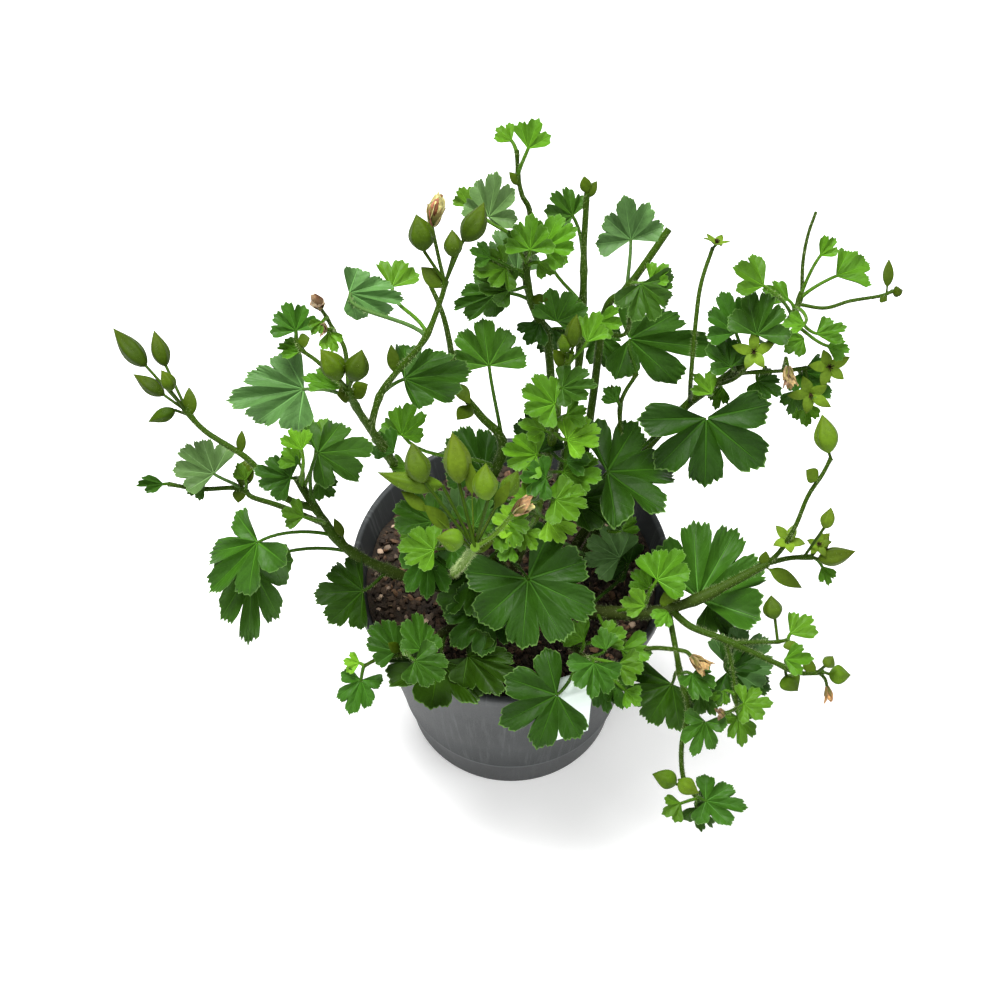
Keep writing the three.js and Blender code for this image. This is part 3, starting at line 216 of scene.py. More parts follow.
# One entry for each leafy stem.
#   root: where it leaves the peat (x, y in mm).
#   stem_tone, bud_tone: only where they aren't STEM_TONE and BUD_TONE.
#   stems: name, parent, how far along the parent, places passed, radius at the start and end.
#     Lengths along a stem are counted in its own places: 2.5 is halfway from its second to its third.
#   leaves: stem, how far along it, place of the base of the blade, place of its tip, kind, width
#     beside a flat open leaf's, tone.
#   buds: stem, how far along it, place of the base of the bud, place of its tip, radius.
#   bracts: stem, how far along it, place of the tip, width.
#   stars: open calyxes whose flower has dropped: stem, how far along it, place of the middle, place
#     that the middle faces, radius.
SHOOTS = {
    "left_shoot": {
        "root": (-16, -3),
        "stems": [
            ("main", "", 0, ((442, 587, 99), (395, 573, 109), (345, 547, 122), (316, 509, 136),
                (297, 478, 147)), 2.39, 1.1),
            ("stalk", "main", 4, ((286, 498, 143), (262, 474, 150), (244, 456, 155), (205, 431, 161),
                (184, 408, 167)), 1.38, 0.92),
            ("side", "main", 3.6, ((280, 506, 133), (252, 497, 131), (240, 488, 132), (200, 489, 134),
                (168, 484, 136)), 1.1, 0.74),
        ],
        "leaves": [
            ("side", 3, (214, 474, 143), (180, 448, 146), "round", 0.8, "cool"),
            ("side", 5, (164, 484, 137), (134, 488, 139), "young", 0.5, "mature"),
            ("main", 3.3, (258, 542, 130), (213, 594, 112), "deep", 0.58, "mature"),
            ("main", 2.8, (252, 567, 114), (249, 648, 90), "deep", 0.55, "mature"),
            ("main", 2.1, (363, 591, 108), (316, 594, 104), "round", 0.9, "olive"),
            ("main", 4.2, (318, 453, 164), (372, 447, 158), "deep", 0.8, "mature"),
            ("main", 4.6, (316, 446, 158), (303, 418, 160), "young", 0.9, "fresh"),
            ("main", 5, (291, 478, 156), (254, 468, 157), "round", 0.7, "mature"),
            ("main", 4.8, (302, 450, 170), (293, 426, 174), "young", 0.9, "lime"),
            ("side", 4, (204, 484, 137), (188, 495, 134), "young", 0.9, "mature"),
            ("main", 3.6, (304, 517, 146), (280, 510, 148), "young", 0.9, "fresh"),
            ("main", 4.7, (300, 464, 160), (281, 446, 164), "young", 0.9, "fresh"),
            ("main", 4.1, (318, 482, 150), (336, 498, 147), "young", 0.9, "mature"),
            ("side", 2.6, (246, 480, 137), (237, 463, 140), "young", 0.8, "fresh"),
        ],
        "buds": [
            ("stalk", 5, (146, 366, 174), (113, 328, 180), 4),
            ("stalk", 4.8, (166, 366, 172), (154, 330, 180), 3.4),
            ("stalk", 4.85, (164, 395, 168), (133, 374, 172), 3.1),
            ("stalk", 4.9, (171, 391, 177), (161, 370, 183), 2.8),
            ("stalk", 4.65, (175, 410, 163), (148, 422, 160), 2.7),
        ],
        "bracts": [
            ("stalk", 4.6, (189, 387, 171), 5),
            ("stalk", 3.1, (242, 430, 161), 3.5),
            ("side", 3, (250, 458, 142), 8),
            ("side", 3, (238, 503, 129), 5),
            ("main", 2.9, (334, 518, 133), 3.5),
        ],
    },
    "upper_left_shoot": {
        "root": (-9, 6),
        "stems": [
            ("main", "", 0, ((437, 535, 122), (405, 482, 158), (376, 437, 188), (358, 410, 207),
                (347, 388, 220)), 1.95, 1.01),
            ("stalk", "main", 3.2, ((373, 418, 200), (381, 393, 208), (395, 374, 215),
                (424, 340, 226), (440, 302, 236), (446, 281, 242)), 1.25, 0.78),
            ("left_twig", "main", 4.9, ((318, 362, 214), (302, 350, 216), (296, 338, 218)), 0.7, 0.62),
            ("bloom_twig", "main", 4.8, ((345, 350, 222), (335, 333, 226), (327, 318, 230),
                (321, 309, 234)), 0.78, 0.55),
            ("low_twig", "bloom_twig", 2, ((331, 330, 230), (327, 329, 231)), 0.6, 0.55),
            ("bud_twig", "stalk", 5.8, ((437, 250, 247), (432, 226, 253)), 0.62, 0.55),
        ],
        "leaves": [
            ("main", 4.2, (304, 389, 202), (232, 402, 197), "round", 0.62, "cool"),
            ("stalk", 4.1, (349, 293, 232), (406, 300, 228), "round", 0.5, "cool"),
            ("stalk", 4.15, (392, 287, 224), (404, 260, 226), "young", 0.9, "fresh"),
            ("stalk", 1.8, (404, 379, 210), (467, 374, 203), "round", 0.58, "mature"),
            ("main", 4.6, (343, 388, 211), (304, 380, 209), "young", 0.5, "fresh"),
            ("left_twig", 3, (296, 331, 220), (287, 300, 226), "round", 0.85, "mature"),
            ("left_twig", 2, (303, 350, 214), (276, 349, 213), "young", 0.6, "fresh"),
            ("main", 1.6, (432, 522, 152), (396, 505, 152), "round", 0.8, "mature"),
            ("main", 1.3, (434, 550, 152), (398, 546, 152), "round", 0.8, "fresh"),
            ("bloom_twig", 2.2, (328, 332, 229), (337, 353, 225), "young", 0.8, "fresh"),
            ("bloom_twig", 3, (323, 321, 232), (311, 335, 230), "young", 0.7, "fresh"),
            ("main", 2.7, (394, 452, 180), (372, 434, 184), "young", 0.9, "mature"),
            ("main", 2.1, (408, 468, 168), (386, 470, 170), "young", 0.9, "fresh"),
        ],
        "buds": [
            ("main", 5, (340, 380, 226), (320, 349, 234), 4.2),
            ("main", 4.9, (352, 381, 226), (362, 349, 235), 4),
            ("stalk", 5.9, (424, 251, 250), (416, 214, 260), 4.4),
            ("stalk", 5.9, (453, 257, 256), (452, 229, 262), 3),
            ("stalk", 6, (463, 241, 254), (484, 202, 262), 4.1),
        ],
        "bracts": [
            ("stalk", 5.6, (421, 267, 244), 6),
            ("stalk", 3, (391, 344, 222), 4),
            ("left_twig", 2.6, (310, 338, 219), 5),
            ("main", 4.6, (368, 384, 220), 6),
            ("main", 4.7, (337, 395, 218), 6),
        ],
    },
    "back_left_shoot": {
        "root": (-4, 14),
        "stems": [
            ("main", "", 0, ((482, 505, 128), (503, 446, 160), (480, 415, 174), (456, 383, 187),
                (450, 345, 204), (442, 312, 216), (427, 278, 225)), 1.88, 0.68),
        ],
        "leaves": [
            ("main", 2, (489, 366, 190), (484, 316, 200), "round", 0.92, "mature"),
            ("main", 1.6, (402, 436, 182), (414, 402, 188), "round", 0.8, "fresh"),
            ("main", 1.2, (484, 474, 138), (458, 428, 141), "round", 0.75, "dark"),
        ],
        "buds": [],
        "bracts": [
            ("main", 3.3, (457, 420, 182), 6),
            ("main", 4, (470, 404, 184), 5),
        ],
    },
    "top_shoot": {
        "root": (3, 13),
        "stems": [
            ("main", "", 0, ((541, 478, 127), (551, 400, 165), (546, 335, 190), (534, 310, 200),
                (527, 282, 211), (527, 262, 219), (530, 214, 236), (522, 195, 243), (518, 175, 249),
                (517, 150, 257)), 1.72, 0.6),
        ],
        "leaves": [
            ("main", 9, (528, 149, 259), (541, 118, 266), "young", 0.9, "fresh"),
            ("main", 9.8, (512, 141, 258), (494, 128, 260), "young", 0.9, "fresh"),
            ("main", 6.6, (489, 217, 241), (499, 171, 252), "round", 0.72, "cool"),
            ("main", 6.3, (470, 207, 233), (459, 186, 237), "young", 0.9, "fresh"),
            ("main", 5.2, (517, 273, 208), (494, 228, 216), "round", 0.62, "cool"),
            ("main", 4.8, (510, 290, 213), (472, 276, 216), "round", 0.6, "mature"),
            ("main", 4.3, (497, 293, 206), (454, 311, 200), "round", 0.6, "mature"),
            ("main", 6, (530, 250, 232), (532, 214, 240), "round", 0.8, "fresh"),
            ("main", 6.1, (544, 248, 230), (579, 226, 236), "round", 0.75, "fresh"),
            ("main", 5, (491, 258, 224), (467, 252, 227), "young", 0.8, "mature"),
            ("main", 5.4, (506, 268, 219), (473, 273, 222), "round", 0.75, "fresh"),
            ("main", 3.6, (540, 322, 196), (528, 346, 190), "young", 1.0, "dark"),
            ("main", 5.9, (517, 246, 229), (508, 229, 233), "young", 0.9, "fresh"),
            ("main", 5.8, (538, 262, 222), (553, 275, 219), "young", 0.9, "fresh"),
        ],
        "buds": [],
        "bracts": [
            ("main", 8.5, (509, 172, 251), 3),
            ("main", 4.4, (548, 300, 207), 4),
        ],
    },
    "back_shoot": {
        "root": (12, 15),
        "stems": [
            ("main", "", 0, ((562, 468, 130), (577, 380, 168), (583, 300, 200), (584, 245, 218),
                (587, 193, 235)), 1.36, 0.99),
        ],
        "leaves": [
            ("main", 3.5, (573, 216, 226), (548, 193, 232), "round", 0.8, "mature"),
            ("main", 3, (557, 322, 199), (575, 287, 209), "round", 0.85, "mature"),
            ("main", 2.5, (552, 328, 184), (539, 354, 180), "round", 0.8, "dark"),
            ("main", 2.6, (597, 322, 188), (625, 327, 189), "young", 0.9, "fresh"),
            ("main", 2.3, (598, 335, 170), (608, 373, 163), "round", 0.65, "mature"),
            ("main", 2.9, (549, 258, 216), (571, 247, 218), "young", 0.9, "fresh"),
        ],
        "buds": [],
        "bracts": [
            ("main", 5, (584, 176, 240), 4),
            ("main", 4.9, (597, 181, 238), 3.5),
        ],
    },
    "back_right_shoot": {
        "root": (16, 9),
        "stems": [
            ("main", "", 0, ((577, 498, 124), (593, 397, 157), (605, 312, 188), (625, 291, 195),
                (642, 268, 202), (669, 229, 213)), 1.58, 1.22),
            ("side", "main", 2.7, ((625, 334, 180), (632, 306, 193), (640, 288, 202)), 0.79, 0.65),
        ],
        "leaves": [
            ("main", 4.1, (631, 240, 208), (622, 195, 222), "round", 0.82, "cool"),
            ("side", 3, (641, 284, 206), (655, 324, 196), "round", 0.9, "mature"),
            ("main", 4.3, (650, 281, 205), (668, 266, 208), "young", 0.9, "fresh"),
        ],
        "buds": [],
        "bracts": [],
    },
    "right_top_shoot": {
        "root": (19, 2),
        "stems": [
            ("main", "", 0, ((587, 528, 111), (635, 462, 133), (690, 402, 151), (735, 371, 164),
                (766, 347, 173), (792, 317, 182), (802, 292, 189)), 1.95, 0.94),
            ("spike", "main", 7, ((803, 262, 200), (808, 235, 210), (816, 212, 218)), 0.7, 0.55),
            ("right_stalk", "main", 6.5, ((825, 308, 187), (850, 301, 188), (880, 296, 189),
                (893, 291, 190)), 0.7, 0.62),
            ("star_stalk", "main", 3, ((691, 376, 170), (697, 310, 191), (702, 280, 199),
                (713, 247, 207)), 0.86, 0.7),
            ("low_stalk", "main", 3.7, ((745, 373, 168), (780, 371, 171), (808, 368, 173)), 0.78, 0.62),
            ("mid_stalk", "main", 3.4, ((736, 378, 166), (754, 357, 177)), 0.7, 0.62),
            ("flower_twig", "low_stalk", 2.1, ((785, 362, 177), (786, 358, 181),
                (788, 366, 180)), 0.62, 0.55),
        ],
        "leaves": [
            ("main", 6.9, (820, 256, 202), (837, 238, 206), "young", 0.7, "fresh"),
            ("main", 6.7, (836, 276, 194), (869, 267, 192), "young", 0.9, "fresh"),
            ("main", 6, (764, 286, 200), (732, 268, 204), "young", 0.9, "fresh"),
            ("main", 6.2, (789, 300, 187), (760, 290, 188), "young", 0.65, "fresh"),
            ("main", 4.3, (736, 333, 182), (721, 294, 190), "round", 0.85, "mature"),
            ("main", 5, (757, 335, 186), (771, 289, 195), "round", 0.75, "mature"),
            ("main", 4, (731, 367, 172), (710, 333, 178), "round", 0.65, "mature"),
            ("main", 3.2, (712, 394, 164), (694, 374, 168), "young", 0.8, "fresh"),
            ("main", 3.3, (722, 386, 154), (716, 409, 148), "young", 0.8, "fresh"),
            ("main", 5.5, (804, 339, 181), (783, 353, 178), "young", 0.8, "fresh"),
            ("main", 6.1, (816, 334, 190), (844, 328, 190), "young", 0.8, "fresh"),
            ("main", 5.8, (827, 346, 182), (850, 350, 180), "young", 0.8, "fresh"),
            ("main", 6.3, (805, 324, 196), (783, 325, 195), "young", 0.8, "fresh"),
            ("low_stalk", 1.4, (757, 381, 164), (780, 396, 162), "round", 0.8, "mature"),
            ("low_stalk", 3, (803, 372, 169), (827, 398, 164), "round", 0.85, "mature"),
            ("low_stalk", 2.8, (804, 402, 148), (806, 428, 142), "young", 0.8, "fresh"),
            ("low_stalk", 2.6, (797, 390, 160), (787, 414, 153), "young", 0.8, "mature"),
        ],
        "buds": [
            ("right_stalk", 4, (893, 292, 190), (903, 290, 190), 2.0),
        ],
        "bracts": [
            ("right_stalk", 3.4, (889, 259, 197), 4),
            ("right_stalk", 3, (887, 301, 188), 4),
        ],
        "stars": [
            ("star_stalk", 3.97, (716, 245, 208), (720, 228, 214), 5.2),
            ("low_stalk", 2.9, (810, 393, 167), (814, 407, 173), 7.4),
            ("low_stalk", 2.95, (829, 367, 174), (833, 368, 181), 7.2),
            ("mid_stalk", 2, (754, 352, 179), (752, 352, 186), 7),
        ],
    },
    "right_shoot": {
        "root": (19, -6),
        "stems": [
            ("main", "", 0, ((585, 552, 108), (604, 515, 121), (614, 480, 133)), 1.84, 1.36),
            ("side", "main", 3, ((620, 440, 146), (621, 402, 158), (637, 373, 166)), 0.88, 0.72),
        ],
        "leaves": [
            ("side", 3, (629, 339, 171), (713, 351, 163), "deep", 0.58, "mature"),
            ("main", 3, (706, 418, 158), (709, 494, 138), "deep", 1, "dark"),
            ("main", 2.7, (607, 472, 146), (677, 468, 138), "deep", 0.9, "dark"),
            ("main", 1.6, (621, 531, 122), (636, 516, 125), "young", 0.9, "fresh"),
            ("side", 1.8, (618, 402, 160), (603, 388, 163), "young", 0.9, "mature"),
        ],
        "buds": [],
        "bracts": [
            ("side", 1.8, (611, 384, 160), 3),
        ],
    },
    "right_low_shoot": {
        "root": (21, -14),
        "bud_tone": PALE_BUD_TONE,
        "stems": [
            ("main", "", 0, ((577, 610, 97), (618, 613, 103), (660, 611, 109), (700, 598, 115),
                (740, 578, 120), (768, 563, 124)), 2.43, 1.44),
            ("upper", "main", 6, ((781, 550, 131), (795, 527, 141), (808, 496, 151), (822, 475, 158),
                (831, 458, 163)), 0.9, 0.72),
            ("bud_stalk", "main", 6, ((790, 558, 126), (813, 557, 128)), 0.99, 0.81),
            ("trail", "main", 3.25, ((690, 626, 110), (720, 638, 110), (750, 651, 109),
                (778, 664, 108), (800, 673, 107), (824, 672, 107)), 1.35, 0.72),
            ("trail_side", "trail", 2.4, ((760, 642, 112), (775, 642, 113), (788, 640, 113)), 0.81, 0.63),
            ("trail_low", "trail", 2.2, ((733, 672, 101), (736, 700, 95), (737, 712, 93)), 0.72, 0.63),
            ("hanging", "main", 3.2, ((675, 645, 104), (681, 678, 97), (689, 710, 88), (682, 742, 78),
                (682, 770, 69), (687, 786, 65), (699, 799, 62)), 1.08, 0.81),
            ("bloom_stalk", "main", 1.8, ((628, 646, 99), (660, 648, 107), (684, 651, 112),
                (691, 656, 112)), 0.9, 0.72),
            ("floret_twig", "trail_low", 2.6, ((731, 711, 96), (725, 713, 96)), 0.63, 0.55),
            ("petal_twig", "trail", 5.8, ((825, 679, 105), (827, 686, 104)), 0.63, 0.55),
        ],
        "leaves": [
            ("main", 3.9, (698, 598, 109), (740, 530, 114), "round", 0.8, "mature"),
            ("main", 4.2, (708, 604, 99), (751, 628, 92), "round", 0.65, "mature"),
            ("main", 2.6, (657, 580, 123), (684, 551, 128), "round", 0.85, "fresh"),
            ("main", 2.2, (651, 589, 110), (629, 572, 112), "young", 0.8, "fresh"),
            ("main", 1.9, (645, 606, 118), (620, 600, 120), "young", 0.8, "fresh"),
            ("main", 1.3, (629, 564, 100), (588, 543, 103), "round", 0.6, "dark"),
            ("bud_stalk", 1.8, (822, 566, 122), (829, 586, 117), "young", 0.7, "fresh"),
            ("main", 1.5, (621, 650, 102), (655, 655, 101), "young", 0.9, "fresh"),
            ("trail", 4.6, (785, 659, 116), (814, 660, 119), "young", 0.8, "fresh"),
            ("trail_side", 3, (790, 634, 115), (813, 617, 117), "young", 0.9, "fresh"),
            ("trail", 2.3, (727, 672, 91), (778, 690, 86), "deep", 0.75, "dark"),
            ("hanging", 1.8, (672, 684, 88), (646, 727, 77), "round", 0.95, "olive"),
            ("hanging", 3.2, (705, 722, 90), (694, 758, 82), "deep", 0.7, "mature"),
            ("hanging", 1.9, (692, 674, 105), (709, 701, 102), "round", 0.7, "mature"),
            ("trail_low", 2.9, (738, 717, 90), (743, 749, 84), "deep", 0.65, "fresh"),
            ("trail_low", 3, (744, 704, 99), (773, 703, 99), "deep", 0.8, "fresh"),
            ("hanging", 7, (681, 803, 62), (661, 814, 61), "young", 0.9, "fresh"),
            ("hanging", 6.9, (696, 807, 57), (716, 829, 52), "deep", 0.7, "mature"),
            ("hanging", 6.8, (706, 801, 66), (751, 808, 66), "deep", 0.65, "mature"),
            ("main", 2.3, (644, 590, 113), (630, 604, 112), "young", 0.8, "lime"),
            ("main", 2.7, (668, 612, 112), (655, 628, 110), "young", 0.8, "fresh"),
            ("hanging", 2.4, (700, 690, 97), (716, 716, 92), "young", 0.8, "mature"),
            ("trail_low", 1.8, (724, 690, 97), (716, 708, 94), "young", 0.8, "fresh"),
            ("trail", 2.5, (731, 668, 91), (765, 638, 94), "round", 0.95, "cool"),
        ],
        "buds": [
            ("upper", 5, (829, 453, 165), (822, 414, 174), 4.5),
            ("bud_stalk", 2, (818, 559, 128), (856, 551, 131), 3.6),
            ("bud_stalk", 1.9, (816, 551, 129), (830, 533, 134), 3),
            ("bud_stalk", 1.6, (824, 528, 146), (831, 507, 152), 2.6),
            ("trail", 4.3, (786, 675, 100), (798, 691, 99), 4.4),
            ("trail", 6, (829, 674, 107), (851, 675, 107), 3.7),
            ("trail_side", 2.2, (775, 619, 117), (771, 595, 123), 3.7),
            ("hanging", 6.1, (676, 784, 65), (652, 774, 69), 3.8),
            ("hanging", 5.6, (679, 780, 77), (699, 793, 76), 3.4),
            ("trail", 5.7, (825, 666, 114), (833, 656, 118), 2.4),
        ],
        "bracts": [
            ("upper", 3.7, (806, 470, 160), 6),
            ("main", 5.8, (802, 588, 114), 6),
            ("main", 5.8, (766, 551, 129), 4),
            ("main", 3.2, (664, 592, 115), 5),
            ("main", 3.2, (681, 590, 114), 4),
            ("trail", 5.3, (812, 660, 110), 5),
            ("trail_side", 3, (792, 651, 112), 5),
        ],
        "stars": [
            ("upper", 1.15, (789, 541, 134), (788, 534, 141), 6.6),
            ("bud_stalk", 1.9, (818, 545, 132), (822, 540, 139), 5),
        ],
    },
    "front_shoot": {
        "root": (-1, -11),
        "stems": [
            ("main", "", 0, ((503, 572, 101), (500, 556, 115)), 1.89, 1.44),
        ],
        "leaves": [
            ("main", 2, (528, 579, 130), (567, 647, 118), "seven", 0.9, "dark"),
            ("main", 1.4, (488, 609, 116), (452, 647, 110), "round", 0.84, "dark"),
            ("main", 1, (468, 656, 106), (523, 682, 104), "round", 0.6, "olive"),
        ],
        "buds": [],
        "bracts": [
            ("main", 1.6, (489, 560, 116), 4),
        ],
    },
    "front_right_shoot": {
        "root": (9, -17),
        "stems": [
            ("main", "", 0, ((560, 632, 99), (585, 660, 107)), 1.8, 1.08),
        ],
        "leaves": [
            ("main", 1.9, (557, 695, 108), (497, 722, 101), "deep", 0.85, "dark"),
            ("main", 2, (594, 663, 118), (589, 701, 113), "round", 0.85, "mature"),
            ("main", 1.6, (600, 640, 110), (626, 632, 110), "young", 0.9, "fresh"),
            ("main", 2, (612, 675, 106), (622, 711, 100), "deep", 0.65, "mature"),
            ("main", 2, (618, 664, 113), (646, 672, 111), "young", 0.9, "fresh"),
            ("main", 2, (606, 650, 113), (600, 628, 116), "young", 0.9, "mature"),
            ("main", 2, (602, 688, 105), (607, 714, 100), "deep", 0.7, "mature"),
            ("main", 1.8, (584, 641, 113), (566, 623, 116), "young", 1.0, "fresh"),
            ("main", 2, (625, 690, 105), (640, 705, 102), "young", 0.9, "fresh"),
        ],
        "buds": [],
        "bracts": [],
    },
    "front_left_shoot": {
        "root": (-13, -15),
        "stems": [
            ("main", "", 0, ((452, 628, 98), (420, 645, 104), (398, 655, 108)), 1.8, 0.99),
            ("twig", "main", 3, ((378, 659, 107), (364, 666, 103)), 0.81, 0.63),
        ],
        "leaves": [
            ("main", 2.5, (396, 651, 110), (368, 626, 112), "round", 0.75, "mature"),
            ("main", 2.7, (415, 661, 122), (446, 681, 118), "round", 0.8, "mature"),
            ("main", 1.9, (421, 650, 114), (415, 614, 118), "round", 0.65, "mature"),
            ("twig", 2, (361, 680, 99), (350, 717, 91), "deep", 0.7, "mature"),
            ("main", 1.2, (439, 661, 99), (428, 714, 101), "round", 1.1, "olive"),
            ("twig", 2, (360, 663, 104), (342, 661, 105), "young", 0.9, "lime"),
        ],
        "buds": [],
        "bracts": [
            ("main", 2.8, (388, 643, 118), 4),
        ],
    },
    "centre_shoot": {
        "root": (1, 3),
        "stem_tone": PALE_STEM_TONE,
        "stems": [
            ("main", "", 0, ((533, 520, 122), (545, 470, 146), (555, 425, 167), (560, 390, 181),
                (571, 352, 196)), 1.76, 0.96),
        ],
        "leaves": [
            ("main", 2.2, (537, 455, 167), (499, 449, 171), "round", 0.75, "fresh"),
            ("main", 2.8, (567, 440, 170), (602, 428, 172), "round", 0.8, "lime"),
            ("main", 3.3, (555, 404, 184), (517, 391, 188), "round", 0.8, "fresh"),
            ("main", 3.8, (562, 388, 188), (600, 385, 191), "round", 0.65, "mature"),
            ("main", 4.6, (587, 342, 200), (600, 313, 204), "young", 0.75, "fresh"),
            ("main", 1.8, (563, 472, 158), (604, 482, 158), "round", 0.85, "fresh"),
            ("main", 1.5, (578, 500, 139), (638, 513, 131), "round", 0.55, "dark"),
            ("main", 2.1, (539, 452, 158), (530, 410, 162), "round", 0.65, "dark"),
            ("main", 1, (518, 528, 150), (491, 518, 154), "round", 0.9, "lime"),
            ("main", 1.2, (548, 520, 148), (576, 531, 146), "round", 0.9, "lime"),
            ("main", 0.9, (428, 555, 128), (426, 603, 122), "round", 0.7, "mature"),
            ("main", 1.1, (524, 531, 146), (537, 550, 143), "young", 0.9, "fresh"),
            ("main", 1.6, (528, 501, 160), (510, 488, 164), "young", 1.0, "fresh"),
            ("main", 1.4, (556, 500, 156), (590, 509, 156), "round", 0.85, "fresh"),
            ("main", 1.9, (546, 478, 162), (518, 478, 165), "round", 0.85, "mature"),
            ("main", 2.4, (566, 462, 163), (592, 460, 164), "young", 0.9, "mature"),
            ("main", 2.6, (545, 430, 172), (519, 425, 175), "young", 0.9, "fresh"),
            ("main", 3.0, (566, 415, 178), (590, 408, 181), "young", 0.9, "fresh"),
            ("main", 0.8, (500, 500, 148), (476, 506, 150), "round", 0.85, "mature"),
            ("main", 1.0, (512, 546, 146), (500, 562, 143), "young", 1.0, "fresh"),
            ("main", 0.9, (458, 516, 144), (440, 490, 148), "round", 0.9, "cool"),
            ("main", 1.3, (503, 520, 152), (522, 548, 148), "round", 0.95, "fresh"),
            ("main", 1.1, (474, 526, 150), (489, 500, 152), "round", 1.0, "mature"),
            ("main", 0.7, (475, 572, 124), (443, 612, 118), "round", 0.95, "dark"),
            ("main", 0.8, (620, 558, 114), (584, 536, 118), "round", 0.8, "cool"),
            ("main", 0.9, (418, 546, 134), (402, 532, 137), "young", 1.0, "fresh"),
            ("main", 0.9, (452, 548, 136), (470, 566, 133), "young", 1.0, "mature"),
        ],
        "buds": [
            ("main", 5, (573, 347, 201), (577, 314, 210), 3),
            ("main", 4.8, (565, 352, 199), (562, 334, 205), 2.6),
        ],
        "bracts": [
            ("main", 4.6, (553, 350, 198), 5),
        ],
    },
    "near_shoot": {
        "root": (-9, -5),
        "stem_tone": PALE_STEM_TONE,
        "bud_tone": PALE_BUD_TONE,
        "stems": [
            ("main", "", 0, ((466, 583, 102), (454, 574, 128), (460, 567, 157), (467, 557, 186),
                (475, 547, 210)), 1.61, 1.1),
            ("petal_stalk", "main", 4.95, ((495, 534, 212), (513, 514, 214)), 0.68, 0.59),
        ],
        "leaves": [],
        "buds": [
            ("main", 4.8, (463, 543, 214), (436, 538, 217), 3.6),
            ("main", 5, (459, 483, 224), (452, 432, 236), 4.4),
            ("main", 4.9, (425, 482, 226), (412, 442, 234), 4),
            ("main", 4.9, (488, 500, 226), (486, 463, 234), 4),
            ("main", 4.95, (442, 485, 222), (377, 472, 226), 3.2),
            ("main", 4.9, (502, 495, 220), (518, 470, 227), 3),
        ],
        "bracts": [
            ("main", 4.6, (424, 505, 219), 5),
            ("main", 4.85, (510, 481, 226), 4),
            ("main", 4.9, (471, 463, 229), 4),
            ("main", 4.8, (401, 491, 221), 4),
            ("main", 4.7, (494, 541, 209), 4),
        ],
    },
}

# Colours of the faded petals, as linear red, green and blue.
PETAL_TONES = {
    "cream": (0.807, 0.716, 0.254),
    "straw": (0.597, 0.462, 0.270),
    "brown": (0.323, 0.195, 0.102),
    "gold": (0.687, 0.479, 0.188),
    "amber": (0.694, 0.434, 0.144),
    "tan": (0.392, 0.254, 0.122),
    "orange": (0.694, 0.371, 0.115),
    "sand": (0.745, 0.445, 0.202),
    "rust": (0.560, 0.190, 0.080),
}

# Faded and dried flowers: node, place of the seat, place of the tip, width, petals, their colour and
# the colour of the first of them.
BLOOMS = (
    ("faded_bud", (432, 226, 253), (440, 190, 262), 8.5, 4, "cream", "rust"),
    ("dried_bloom_left_high", (321, 309, 234), (316, 298, 239), 6, 3, "straw", "tan"),
    ("dried_bloom_left_low", (327, 329, 231), (320, 328, 232), 5, 3, "brown", "tan"),
    ("dried_bloom_right", (788, 366, 180), (790, 391, 175), 6.5, 4, "gold", "brown"),
    ("dried_bloom_front", (691, 656, 112), (710, 672, 110), 7.5, 4, "amber", "gold"),
    ("dried_bloom_trail", (725, 713, 96), (716, 714, 96), 5.5, 3, "tan", "brown"),
    ("dried_petal_right", (827, 686, 104), (830, 704, 100), 4.5, 3, "orange", "orange"),
    ("dried_bloom_near", (513, 514, 214), (533, 499, 217), 7, 4, "sand", "cream"),
)


def place(spot):
    """The point for a place given as column, row and height: the picture's ray through that
    column and row, followed to that height."""
    column, row, height = spot
    slope = (VIEW_ROW - row) / VIEW_FOCAL
    lift = height - VIEW_AIM_HEIGHT
    reach = slope * (VIEW_DISTANCE - VIEW_SIN * lift) - VIEW_COS * lift
    y = reach / (VIEW_SIN - VIEW_COS * slope)
    depth = VIEW_DISTANCE + y * VIEW_COS - lift * VIEW_SIN
    return np.array([(column - VIEW_COLUMN) * depth / VIEW_FOCAL, y, height])


def unit(vectors):
    """Vectors divided by their own lengths."""
    return vectors / np.linalg.norm(vectors, axis=-1, keepdims=True)


def blend(low, high, share):
    """The mix of two values: low where the share is 0 and high where it is 1."""
    share = np.asarray(share, float)[..., None]
    return np.asarray(low) * (1 - share) + np.asarray(high) * share


class Surface:
    """Points in millimetres, faces as rows of point numbers, and values at the points."""

    def __init__(self, points, faces, **values):
        self.points = np.reshape(points, (-1, 3))
        self.faces = faces
        count = len(self.points)
        self.values = {
            name: np.broadcast_to(value, (count,) + np.shape(value)[-1:]) for name, value in values.items()
        }

    def volume(self):
        """The volume inside the faces: a sixth of the sum, over the triangles, of one corner's dot
        product with the cross product of the other two."""
        total = 0.0
        for rows in self.faces:
            corners = self.points[rows]
            for last in range(2, rows.shape[1]):
                normals = np.cross(corners[:, last - 1], corners[:, last])
                total += (corners[:, 0] * normals).sum() / 6
        return total

    def outward(self):
        """The same surface with its faces turned outwards."""
        if self.volume() < 0:
            self.faces = [rows[:, ::-1] for rows in self.faces]
        return self


def joined(surfaces):
    """Several surfaces as one, with the later ones' point numbers moved up."""
    starts = np.cumsum([0] + [len(surface.points) for surface in surfaces])
    faces = [rows + start for surface, start in zip(surfaces, starts) for rows in surface.faces]
    values = {
        name: np.concatenate([surface.values[name] for surface in surfaces]) for name in surfaces[0].values
    }
    return Surface(np.concatenate([surface.points for surface in surfaces]), faces, **values)


def grid_quads(rows, columns, wrapped=False):
    """The quads of a grid of points counted row by row. A wrapped grid also has quads between its
    last column and its first."""
    row, column = np.meshgrid(np.arange(rows - 1), np.arange(columns - (not wrapped)), indexing="ij")
    after = (column + 1) % columns
    here, there = row * columns, (row + 1) * columns
    return np.stack([here + column, here + after, there + after, there + column], -1).reshape(-1, 4)


